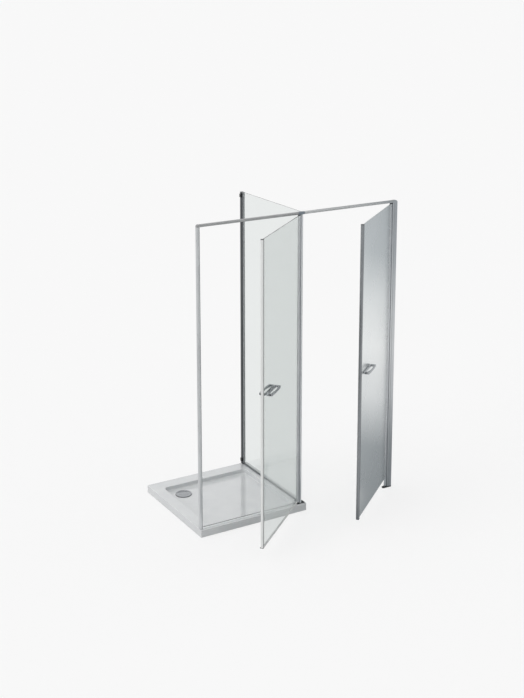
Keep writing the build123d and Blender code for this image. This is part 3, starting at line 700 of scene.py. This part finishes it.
    def build(self) -> None:
        """Builds and dresses the fixed frame."""
        # The left inner profile takes the grey copy of the plain aluminium: painted shade.
        self.grooved_upright("left_inner_profile", self.finishes.grey, -1)
        self.grooved_upright("right_inner_profile", self.finishes.upright, 1)
        # The left rail and its corner cap take a darker copy of the aluminium: painted shade; the right
        # rail's copy is close to the plain tone.
        self.top_rail("left_top_rail", self.finishes.rail)
        self.top_rail("right_top_rail", self.finishes.pale_rail)
        self.corner_cap("left_corner_cap", self.finishes.rail, -1)
        self.corner_cap("right_corner_cap", self.finishes.upright, 1)
        self.threshold()
        self.middle_post()
        self.post_foot()
        self.side_screws("left_profile_screws")
        self.side_screws("right_profile_screws")
        dress(self.finishes.upright, "left_wall_profile", "right_wall_profile")
        dress(self.finishes.alloy, "top_connector")
        dress(self.finishes.plastic, "right_profile_foot")
        dress(self.finishes.rubber, "left_magnetic_strip", "mirror_door_strike_strip")
        dress(self.finishes.steel, "rail_grub_screws", "shower_door_hinge_pins", "mirror_door_hinge_pins")


@dataclass
class Divider:
    """The fixed glass between the bays, with its channels."""

    finishes: Finishes
    wall: float = 2 * MM
    arris: float = 0.4 * MM
    strip: float = 0.4 * MM
    strip_inset: float = 1 * MM

    def back_profile(self) -> None:
        """Builds the light channel at the back and the dark strip of painted shade on its shower side."""
        low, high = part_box("back_wall_profile")
        left = low.x + self.strip
        inner_low, inner_high, floor = low.x + self.wall, high.x - self.wall, high.y - self.wall
        outline = [(left, low.y), (left, high.y), (high.x, high.y), (high.x, low.y), (inner_high, low.y),
                   (inner_high, floor), (inner_low, floor), (inner_low, low.y)]
        bm = bar(outline, low.z, high.z, self.arris)
        place_piece(bm, "back_wall_channel", self.finishes.upright, Body.FRAME, "dark_aluminium",
                    "back_wall_profile")
        # The near-black strip down the channel's shower side is painted shade.
        strip = oblong((low.x, low.y + self.strip_inset), (left, high.y))
        bm = bar(strip, low.z, high.z, self.strip / 4)
        place_piece(bm, "back_wall_channel_shade_strip", self.finishes.painted_shade, Body.FRAME, "dark_aluminium")

    def bottom_channel(self) -> None:
        """Builds the channel on the tray rim under the divider."""
        low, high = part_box("divider_bottom_channel")
        outline = slotted("divider_bottom_channel", "divider_bottom_gasket", "xz")
        bm = lay(bar(outline, low.y, high.y, self.arris), "Y")
        place_piece(bm, "divider_bottom_bar", self.finishes.grey_deep, Body.FRAME, "dark_aluminium",
                    "divider_bottom_channel")

    def build(self) -> None:
        """Builds and dresses the divider."""
        self.back_profile()
        self.bottom_channel()
        dress(self.finishes.glass, "divider_glass")
        dress(self.finishes.rubber, "divider_front_gasket", "divider_bottom_gasket")
        dress(self.finishes.pale_rubber, "back_profile_gaskets")
        dress(self.finishes.plastic, "back_profile_clips")


@dataclass
class LoopHandle:
    """A horizontal loop handle: a flat bar along the panel and a bow in front of it.

    It is drawn in a door's own frame: X from the hinge axis to the free edge, Y outwards.
    """

    centre: float
    base: float
    level: float
    length: float = 170 * MM
    shoulder: float = 37 * MM
    crown: float = 41 * MM
    bar: float = 9 * MM
    leg: float = 11 * MM
    bow: float = 8 * MM
    rise: float = 11 * MM
    thickness: float = 15 * MM
    corner: float = 4 * MM
    roll: float = 2.4 * MM
    bow_steps: int = 24
    corner_segments: int = 5
    roll_segments: int = 4

    def outline(self, bm: bmesh.types.BMesh, half: float, foot: float, shoulder: float,
                crown: float) -> list[bmesh.types.BMEdge]:
        """Draws one closed outline with rounded corners.

        Args:
            bm: The bmesh that it goes into.
            half: Half its length.
            foot: Its distance from the panel's middle at the bar.
            shoulder: The same at the ends of the bow.
            crown: The same at the middle of the bow.

        Returns:
            The outline's edges.
        """
        before = set(bm.edges)
        rise = crown - shoulder
        radius = (half * half + rise * rise) / (2 * rise)
        start = bm.verts.new((self.centre + half, shoulder, 0))
        bmesh.ops.spin(bm, geom=[start], cent=(self.centre, crown - radius, 0), axis=(0, 0, 1),
                       angle=2 * math.asin(half / radius), steps=self.bow_steps, use_duplicate=False)
        chain = [edge for edge in bm.edges if edge not in before]
        ends = [v for v in {v for edge in chain for v in edge.verts} if len(v.link_edges) == 1]
        right, left = sorted(ends, key=lambda v: -v.co.x)
        low_right = bm.verts.new((self.centre + half, foot, 0))
        low_left = bm.verts.new((self.centre - half, foot, 0))
        for pair in ((right, low_right), (low_right, low_left), (low_left, left)):
            bm.edges.new(pair)
        bmesh.ops.bevel(bm, geom=[right, left, low_right, low_left], offset=self.corner,
                        segments=self.corner_segments, profile=0.5, affect="VERTICES", material=-1)
        return [edge for edge in bm.edges if edge not in before]

    def shape(self) -> bmesh.types.BMesh:
        """Builds the solid loop with its rolled edges.

        Returns:
            The bmesh with the handle.
        """
        bm = bmesh.new()
        half = self.length / 2
        outer = self.outline(bm, half, self.base, self.base + self.shoulder, self.base + self.crown)
        inner = self.outline(bm, half - self.leg, self.base + self.bar, self.base + self.bar + self.rise,
                             self.base + self.crown - self.bow)
        bmesh.ops.bridge_loops(bm, edges=outer + inner)
        lengthen(bm, bm.faces[:], Vector((0, 0, self.thickness)))
        bmesh.ops.translate(bm, verts=bm.verts[:], vec=(0, 0, self.level - self.thickness / 2))
        bmesh.ops.recalc_face_normals(bm, faces=bm.faces[:])
        rims = [edge for edge in bm.edges if len(edge.link_faces) == 2
                and sorted(round(abs(face.normal.z)) for face in edge.link_faces) == [0, 1]]
        bmesh.ops.bevel(bm, geom=rims, offset=self.roll, segments=self.roll_segments, profile=0.5,
                        affect="EDGES", material=-1, clamp_overlap=True)
        return bm


@dataclass
class HungDoor:
    """What both doors share: a hinge axis, an angle from shut, a tube with a glazing channel and handles.

    Shapes are drawn in the door's own frame, X from the hinge axis to the free edge and Y outwards.
    """

    finishes: Finishes
    body: Body
    hinge_x: float
    opening_degrees: float
    reach: float
    half_panel: float
    tube_radius: float = 9 * MM
    tube_facets: int = 48
    channel_reach: float = 24 * MM
    channel_depth: float = 10 * MM
    channel_half: float = 7 * MM
    channel_arris: float = 0.4 * MM
    gasket: float = 1.2 * MM
    pad: float = 1 * MM
    handle_level: float = 1050 * MM
    handle_inset: float = 150 * MM
    door_bottom: float = 74 * MM
    door_top: float = 2028 * MM

    def hang(self, bm: bmesh.types.BMesh) -> bmesh.types.BMesh:
        """Moves a shape from the door's own frame to its place at rest and returns it."""
        turn = Matrix.Rotation(math.radians(180 + self.opening_degrees), 4, "Z")
        bmesh.ops.transform(bm, matrix=Matrix.Translation((self.hinge_x, 0, 0)) @ turn, verts=bm.verts[:])
        return bm

    def handle(self, name: str, node: str, inside: bool) -> None:
        """Builds one handle.

        Args:
            name: The piece's name.
            node: The CAD node that it stands for.
            inside: True for the handle on the inner face.
        """
        centre = self.reach - self.handle_inset
        bm = LoopHandle(centre, self.half_panel + self.pad, self.handle_level).shape()
        if inside:
            bmesh.ops.scale(bm, vec=(1, -1, 1), verts=bm.verts[:])
        place_piece(self.hang(bm), name, self.finishes.chrome, self.body, "chrome", node)

    def hinge_tube(self, material: bpy.types.Material) -> None:
        """Builds the round tube with the channel that grips the panel.

        Args:
            material: Its finish.
        """
        node = f"{self.body.value}_hinge_profile"
        low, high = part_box(node)
        rings = [(0, low.z), (self.tube_radius, low.z), (self.tube_radius, high.z), (0, high.z)]
        tube = turned(rings, Vector((0, 0, 0)), self.tube_facets)
        slot = self.half_panel + self.gasket
        start = self.channel_reach - self.channel_depth
        half = [(self.tube_radius / 2, self.channel_half), (self.channel_reach, self.channel_half),
                (self.channel_reach, slot), (start, slot)]
        bar(both_sides(half), self.door_bottom, high.z, self.channel_arris, tube)
        place_piece(self.hang(tube), f"{node}_tube", material, self.body, "bright_aluminium", node)

    def build(self) -> None:
        """Dresses the small parts that both doors share."""
        word = self.body.value
        # The hinge gaskets take the lighter rubber: painted light in the shaded gap by the tube.
        dress(self.finishes.pale_rubber, f"{word}_hinge_gasket", f"{word}_handle_pads")
        dress(self.finishes.plastic, f"{word}_top_bush", f"{word}_bottom_bush")


@dataclass
class ShowerDoor(HungDoor):
    """The clear pivot door."""

    # The magnetic seal: how far it reaches back from the edge, its grip on the glass and its nose.
    seal_reach: float = 20 * MM
    seal_half: float = 9 * MM
    seal_grip: float = 10 * MM
    seal_ramp: float = 6 * MM
    seal_nose: float = 2 * MM
    seal_arris: float = 0.5 * MM
    lip: float = 1.2 * MM
    tape: float = 0.4 * MM
    tape_start: float = 7 * MM
    tape_end: float = 3 * MM
    # The drip seal: a clip round the glass with a fin outwards and a soft wiper below.
    drip_gap: float = 1 * MM
    drip_height: float = 6 * MM
    drip_drop: float = 13 * MM
    drip_arris: float = 0.2 * MM
    fin_root: float = 9 * MM
    fin_edge: float = 2 * MM
    wiper_length: float = 6 * MM
    wiper_half: float = 1 * MM

    def magnetic_seal(self) -> None:
        """Builds the pale seal over the free edge and the magnet tape along both its faces."""
        start, inner = self.reach - self.seal_reach, self.seal_half - self.tape
        panel, grip = self.half_panel, start + self.seal_grip
        half = [(start, panel), (start, panel + self.lip), (start + self.seal_ramp, inner),
                (self.reach - self.seal_nose, inner), (self.reach, self.seal_half * 2 / 3)]
        outline = both_sides(half) + [(grip, -panel), (grip, panel)]
        bm = bar(outline, self.door_bottom, self.door_top, self.seal_arris)
        place_piece(self.hang(bm), "shower_door_magnetic_seal_body", self.finishes.vinyl, self.body,
                    "clear_seal", "shower_door_magnetic_seal")
        bm = bmesh.new()
        for side in (-1, 1):
            tape = oblong((start + self.tape_start, side * inner),
                          (self.reach - self.tape_end, side * self.seal_half))
            bar(tape, self.door_bottom, self.door_top, self.tape / 4, bm)
        place_piece(self.hang(bm), "shower_door_magnet_tapes", self.finishes.magnet, self.body, "grey_gasket")

    def drip_seal(self) -> None:
        """Builds the seal under the glass with its wiper and a second fin outwards."""
        start, end = self.channel_reach + self.drip_gap, self.reach - self.seal_reach - self.drip_gap
        top, low = self.door_bottom + self.drip_height, self.door_bottom - self.drip_drop
        panel, wiper, root = self.half_panel, self.wiper_half, low + self.wiper_length
        grip = panel + self.lip
        outline = [(top, panel), (top, grip), (low + self.fin_root, grip),
                   (low + self.fin_edge, grip - wiper / 4), (low + self.fin_edge / 2, grip - self.fin_edge),
                   (root, wiper), (low, wiper / 2), (low, -wiper / 2), (root, -wiper), (root, -grip),
                   (top, -grip), (top, -panel), (self.door_bottom, -panel), (self.door_bottom, panel)]
        bm = lay(bar(outline, start, end, self.drip_arris), "X")
        place_piece(self.hang(bm), "shower_door_drip_seal_body", self.finishes.clear_vinyl, self.body,
                    "clear_seal", "shower_door_drip_seal")

    def build(self) -> None:
        """Builds and dresses the door."""
        super().build()
        # The tube takes a lighter copy of the aluminium: painted light.
        self.hinge_tube(self.finishes.bright)
        self.handle("shower_door_outer_loop", "shower_door_outer_handle", False)
        self.handle("shower_door_inner_loop", "shower_door_inner_handle", True)
        self.magnetic_seal()
        self.drip_seal()
        dress(self.finishes.glass, "shower_door_glass")
        dress(self.finishes.plastic, "shower_door_seal_caps")
        dress(self.finishes.steel, "shower_door_handle_studs")


@dataclass
class MirrorDoor(HungDoor):
    """The pivot door with the mirror."""

    edge_reach: float = 15 * MM
    edge_half: float = 10 * MM
    edge_slot: float = 8 * MM
    edge_arris: float = 1 * MM
    glass: float = 5 * MM
    bevel: float = 1.5 * MM
    bevel_degrees: float = 20.0
    # The screw covers; the shares are radius and height along the dome.
    cover_radius: float = 11 * MM
    cover_height: float = 5.5 * MM
    cover_shares: tuple[tuple[float, float], ...] = (
        (0, 0), (1, 0), (1, 0.5), (0.94, 0.75), (0.8, 0.9), (0.5, 0.98), (0, 1))
    cover_facets: int = 32
    screw_spacing: float = 120 * MM

    def edge_profile(self) -> None:
        """Builds the profile on the free edge, with softly rounded outer arrises."""
        start = self.reach - self.edge_reach
        half = [(start + self.edge_slot, self.half_panel), (start, self.half_panel), (start, self.edge_half),
                (self.reach, self.edge_half)]
        bm = bar(both_sides(half), self.door_bottom, self.door_top, self.edge_arris)
        place_piece(self.hang(bm), "mirror_door_edge_bar", self.finishes.grey, self.body, "dark_aluminium",
                    "mirror_door_edge_profile")

    def mirror(self) -> None:
        """Builds the mirror with its ground bevel."""
        start = self.channel_reach - self.channel_depth + self.gasket
        end = self.reach - self.edge_reach + self.edge_slot
        low, high = self.door_bottom, self.door_top
        centre = Vector(((start + end) / 2, self.half_panel - self.glass / 2, (low + high) / 2))
        bm = bmesh.new()
        bmesh.ops.create_cube(bm, size=1.0)
        bmesh.ops.scale(bm, verts=bm.verts[:], vec=(end - start, self.glass, high - low))
        bmesh.ops.translate(bm, verts=bm.verts[:], vec=centre)
        front = [edge for edge in bm.edges if all(vert.co.y > 0 for vert in edge.verts)]
        bmesh.ops.bevel(bm, geom=front, offset=self.bevel, segments=1, profile=0.5, affect="EDGES",
                        material=-1)
        place_piece(self.hang(bm), "mirror_door_mirror", self.finishes.mirror, self.body, "mirror_glass",
                    "mirror_door_glass", smooth_degrees=self.bevel_degrees)

    def screw_covers(self) -> None:
        """Turns the two domed covers over the handle screws."""
        rings = [(self.cover_radius * across, self.cover_height * up) for across, up in self.cover_shares]
        centre = self.reach - self.handle_inset
        bm = bmesh.new()
        for side in (-1, 1):
            place = Vector((centre + side * self.screw_spacing / 2, -self.half_panel, self.handle_level))
            turned(rings, place, self.cover_facets, bm, toward=Vector((0, -1, 0)))
        place_piece(self.hang(bm), "mirror_door_screw_cover_domes", self.finishes.plastic, self.body,
                    "dark_plastic", "mirror_door_screw_covers")

    def build(self) -> None:
        """Builds and dresses the door."""
        super().build()
        # The tube takes a lighter copy of the aluminium: painted light.
        self.hinge_tube(self.finishes.bright)
        self.handle("mirror_door_loop", "mirror_door_handle", False)
        self.edge_profile()
        self.mirror()
        self.screw_covers()
        dress(self.finishes.backing, "mirror_door_backing")
        dress(self.finishes.plastic, "mirror_door_edge_caps")
        dress(self.finishes.steel, "mirror_door_handle_screws")


@dataclass(frozen=True)
class Card:
    """A glowing card that only reflections show; its tones are painted light and shade, seen as painted
    reflections.

    Attributes:
        name: The card's name.
        low: Its lowest corner.
        high: Its highest corner; one of the three sizes is zero.
        tones: Pairs of a height and a hex colour of painted light and shade, from its foot to its top.
        slant: How far the tones climb in a metre towards the front.
        fade: How much of its light it gains in a metre towards the front.
        soft: How far in from its front edge it turns to the colour of the backdrop.
        lean: How far it shifts backwards in a metre to the right.
    """

    name: str
    low: tuple[float, float, float]
    high: tuple[float, float, float]
    tones: tuple[tuple[float, str], ...]
    slant: float = 0.0
    fade: float = 0.0
    soft: float = 0.0
    lean: float = 0.0

    def sheet(self) -> bmesh.types.BMesh:
        """Draws the card.

        Returns:
            The bmesh with its one face.
        """
        low, high = Vector(self.low), Vector(self.high)
        size = high - low
        bm = bmesh.new()
        bmesh.ops.create_grid(bm, x_segments=1, y_segments=1, size=0.5)
        for axis, thickness in (("Y", size.x), ("X", size.y)):
            if thickness == 0:
                upright = Matrix.Rotation(math.pi / 2, 3, axis)
                bmesh.ops.rotate(bm, verts=bm.verts[:], cent=(0, 0, 0), matrix=upright)
        bmesh.ops.scale(bm, verts=bm.verts[:], vec=size)
        bmesh.ops.translate(bm, verts=bm.verts[:], vec=(low + high) / 2)
        shear = Matrix(((1, 0, 0, 0), (self.lean, 1, 0, 0), (0, 0, 1, 0), (0, 0, 0, 1)))
        bmesh.ops.transform(bm, matrix=shear, verts=bm.verts[:])
        return bm

    def glow(self, backdrop: str) -> bpy.types.Material:
        """Makes the card's glow: an emission of painted light and shade.

        Args:
            backdrop: The hex colour of its front edge.

        Returns:
            The new material.
        """
        material, tree = empty_material(self.name)
        place = add_node(tree, "ShaderNodeTexCoord")
        axes = add_node(tree, "ShaderNodeSeparateXYZ", {"Vector": place.outputs["Object"]})
        depth, height = axes.outputs["Y"], axes.outputs["Z"]
        level = add_node(tree, "ShaderNodeMath", {0: depth, 1: self.slant, 2: height},
                         operation="MULTIPLY_ADD")
        top = self.tones[-1][0]
        share = add_node(tree, "ShaderNodeMath", {0: level.outputs[0], 1: top}, operation="DIVIDE")
        ramp = add_node(tree, "ShaderNodeValToRGB", {"Fac": share.outputs[0]})
        stops = ramp.color_ramp.elements
        for number, (reach, colour) in enumerate(self.tones):
            stop = stops[number] if number < 2 else stops.new(reach / top)
            stop.position = reach / top
            stop.color = linear(colour)
        power = add_node(tree, "ShaderNodeMath", {0: depth, 1: -self.fade, 2: 1.0}, operation="MULTIPLY_ADD")
        shine = add_node(tree, "ShaderNodeMix", {
            0: power.outputs[0], 6: linear("000000"), 7: ramp.outputs["Color"],
        }, data_type="RGBA", clamp_factor=False)
        edge = add_node(tree, "ShaderNodeMapRange", {
            "Value": depth, "From Min": self.low[1], "From Max": self.low[1] + self.soft + MM,
        }, interpolation_type="SMOOTHSTEP")
        mixed = add_node(tree, "ShaderNodeMix", {
            0: edge.outputs["Result"], 6: linear(backdrop), 7: shine.outputs[2],
        }, data_type="RGBA")
        light = add_node(tree, "ShaderNodeEmission", {"Color": mixed.outputs[2]})
        add_node(tree, "ShaderNodeOutputMaterial", {"Surface": light.outputs["Emission"]})
        return material

    def build(self, backdrop: str) -> None:
        """Stands the card in the studio.

        Args:
            backdrop: The hex colour of its front edge.
        """
        card = new_object(self.sheet(), self.name, self.glow(backdrop))
        for ray in ("camera", "diffuse", "shadow", "transmission", "volume_scatter"):
            setattr(card, f"visible_{ray}", False)


@dataclass
class Studio:
    """The floor, the light, the glowing cards of painted reflections and the camera."""

    # The floor bounces less light than it shows; its glow is the share of it that takes no shadow.
    floor_half: float = 150.0
    floor_colour: str = "FBFBFB"
    floor_bounce: str = "C8C8C8"
    floor_glow: float = 0.75
    backdrop: str = "F9F9F9"
    horizon: float = 0.32
    zenith: float = 0.86
    zenith_height: float = 0.8
    lamp_spread: float = 50.0
    key_strength: float = 0.42
    key_tilt: float = 19.0
    key_turn: float = -68.0
    side_strength: float = 0.80
    side_tilt: float = 72.0
    side_turn: float = -92.0
    # Where the upright cards stand, where the mirror's one meets the glass's one, and how the low ones lean.
    right: float = 0.80
    back: float = 0.82
    left: float = -1.7
    meet: float = 0.045
    floor_lean: float = 0.43
    # The camera that was solved from the photograph; its focal length is in pixels of that picture.
    camera_place: tuple[float, float, float] = (-4.1669, -6.5557, 3.7039)
    camera_azimuth: float = 30.60
    camera_pitch: float = 11.92
    focal_pixels: float = 1244.1
    image_height: float = 698.0
    sensor_mm: float = 36.0
    shift_up: float = -0.20
    sight: float = 500.0

    def seen(self, tree: bpy.types.NodeTree) -> bpy.types.NodeSocket:
        """A share that is 1 for rays from the camera, also by way of metal or glass.

        Args:
            tree: The node tree that it goes into.

        Returns:
            The socket with the share.
        """
        path = add_node(tree, "ShaderNodeLightPath")
        share = path.outputs["Is Camera Ray"]
        for ray in ("Is Glossy Ray", "Is Transmission Ray"):
            larger = add_node(tree, "ShaderNodeMath", {0: share, 1: path.outputs[ray]}, operation="MAXIMUM")
            share = larger.outputs[0]
        return share

    def floor(self) -> None:
        """Lays a plain pale floor that keeps a light shadow; it throws less light back than it shows."""
        bm = bmesh.new()
        bmesh.ops.create_grid(bm, x_segments=1, y_segments=1, size=self.floor_half)
        material, tree = empty_material("pale_floor")
        pale = add_node(tree, "ShaderNodeBsdfDiffuse", {"Color": linear(self.floor_colour)})
        glow = add_node(tree, "ShaderNodeEmission", {"Color": linear(self.backdrop)})
        shown = add_node(tree, "ShaderNodeMixShader", {
            0: self.floor_glow, 1: pale.outputs["BSDF"], 2: glow.outputs["Emission"],
        })
        bounce = add_node(tree, "ShaderNodeBsdfDiffuse", {"Color": linear(self.floor_bounce)})
        ground = add_node(tree, "ShaderNodeMixShader", {
            0: self.seen(tree), 1: bounce.outputs["BSDF"], 2: shown.outputs["Shader"],
        })
        add_node(tree, "ShaderNodeOutputMaterial", {"Surface": ground.outputs["Shader"]})
        new_object(bm, "floor", material)

    def cards(self) -> list[Card]:
        """Lists the glowing cards that the mirror, the glass, the tray and the metal show as painted
        reflections.

        Returns:
            The cards, each in its place.
        """
        right, back, left, meet, lean = self.right, self.back, self.left, self.meet, self.floor_lean
        # Their tones are painted light and shade: the mirror's gradient, grey floors under the doors, and a
        # near-black band for the handles' ends and the left profile.
        return [
            Card("mirror_card", (right, -0.75, 0.0), (right, meet, 2.3),
                 ((0.0, "92979A"), (0.26, "9A9FA2"), (0.63, "DDDFE0"), (1.00, "F0F1F1"), (1.35, "DEE1E2"),
                  (1.65, "BCC1C4"), (2.3, "B3B8BB")), slant=0.27, fade=0.35, soft=0.45),
            Card("glass_card", (right, meet, 0.0), (right, 1.2, 2.6), ((0.0, "AEB1B2"), (2.6, "B2B5B6"))),
            Card("foot_card", (0.10, -0.56, 0.002), (right, -0.245, 0.002),
                 ((0.0, "92979A"), (1.0, "92979A")), lean=lean),
            Card("low_card", (-0.60, -0.60, 0.001), (right, 0.90, 0.001),
                 ((0.0, "B5B8B9"), (1.0, "B5B8B9")), lean=lean),
            Card("back_card", (-0.80, back, 0.0), (0.06, back, 0.46),
                 ((0.0, "9A9EA1"), (0.30, "8E9295"), (0.46, "A8ACAF"))),
            Card("dark_card", (left, -1.6, 0.30), (left, 1.0, 1.05),
                 ((0.0, "C0C0C0"), (0.30, "C0C0C0"), (0.50, "303234"), (0.85, "303234"), (1.05, "C0C0C0"))),
        ]

    def lamp(self, name: str, strength: float, tilt: float, turn: float) -> None:
        """Hangs one wide soft lamp.

        Args:
            name: Its name.
            strength: Its power for a square metre.
            tilt: How far it stands from overhead, in degrees.
            turn: Where it stands round the object, in degrees from the front.
        """
        lamp = bpy.data.lights.new(name, "SUN")
        lamp.energy = strength
        lamp.angle = math.radians(self.lamp_spread)
        holder = bpy.data.objects.new(name, lamp)
        holder.rotation_euler = Euler((math.radians(tilt), 0, math.radians(turn)))
        bpy.context.scene.collection.objects.link(holder)

    def light(self) -> None:
        """Sets a soft dome of light and two wide soft lamps."""
        world = bpy.data.worlds.new("dome")
        bpy.context.scene.world = world
        world.use_nodes = True
        tree = world.node_tree
        tree.nodes.clear()
        place = add_node(tree, "ShaderNodeTexCoord")
        axes = add_node(tree, "ShaderNodeSeparateXYZ", {"Vector": place.outputs["Generated"]})
        level = add_node(tree, "ShaderNodeMapRange", {
            "Value": axes.outputs["Z"], "From Max": self.zenith_height,
            "To Min": self.horizon, "To Max": self.zenith,
        })
        dome = add_node(tree, "ShaderNodeBackground", {
            "Color": linear("FFFFFF"), "Strength": level.outputs["Result"],
        })
        plain = add_node(tree, "ShaderNodeBackground", {"Color": linear(self.backdrop)})
        sky = add_node(tree, "ShaderNodeMixShader", {
            0: self.seen(tree), 1: dome.outputs["Background"], 2: plain.outputs["Background"],
        })
        add_node(tree, "ShaderNodeOutputWorld", {"Surface": sky.outputs["Shader"]})
        self.lamp("soft_key", self.key_strength, self.key_tilt, self.key_turn)
        self.lamp("soft_side", self.side_strength, self.side_tilt, self.side_turn)

    def camera(self) -> None:
        """Sets the camera at the photograph's viewing angle."""
        data = bpy.data.cameras.new("camera")
        data.sensor_width = self.sensor_mm
        data.lens = self.focal_pixels * self.sensor_mm / self.image_height
        data.shift_y = self.shift_up
        data.clip_end = self.sight
        camera = bpy.data.objects.new("camera", data)
        camera.location = self.camera_place
        pitch, azimuth = math.radians(90 - self.camera_pitch), math.radians(-self.camera_azimuth)
        camera.rotation_euler = Euler((pitch, 0, azimuth))
        bpy.context.scene.collection.objects.link(camera)
        bpy.context.scene.camera = camera

    def build(self) -> None:
        """Builds the studio."""
        self.floor()
        for card in self.cards():
            card.build(self.backdrop)
        self.light()
        self.camera()
        bpy.context.scene.view_settings.view_transform = "Standard"


def main() -> None:
    """Builds the studio and the whole enclosure."""
    Studio().build()
    finishes = Finishes()
    Tray(finishes).build()
    WallFrame(finishes).build()
    Divider(finishes).build()
    ShowerDoor(finishes, Body.SHOWER_DOOR, hinge_x=-12 * MM, opening_degrees=40.0, reach=721 * MM,
               half_panel=3 * MM).build()
    MirrorDoor(finishes, Body.MIRROR_DOOR, hinge_x=710 * MM, opening_degrees=39.0, reach=697 * MM,
               half_panel=4 * MM).build()


if __name__ == "__main__":
    main()
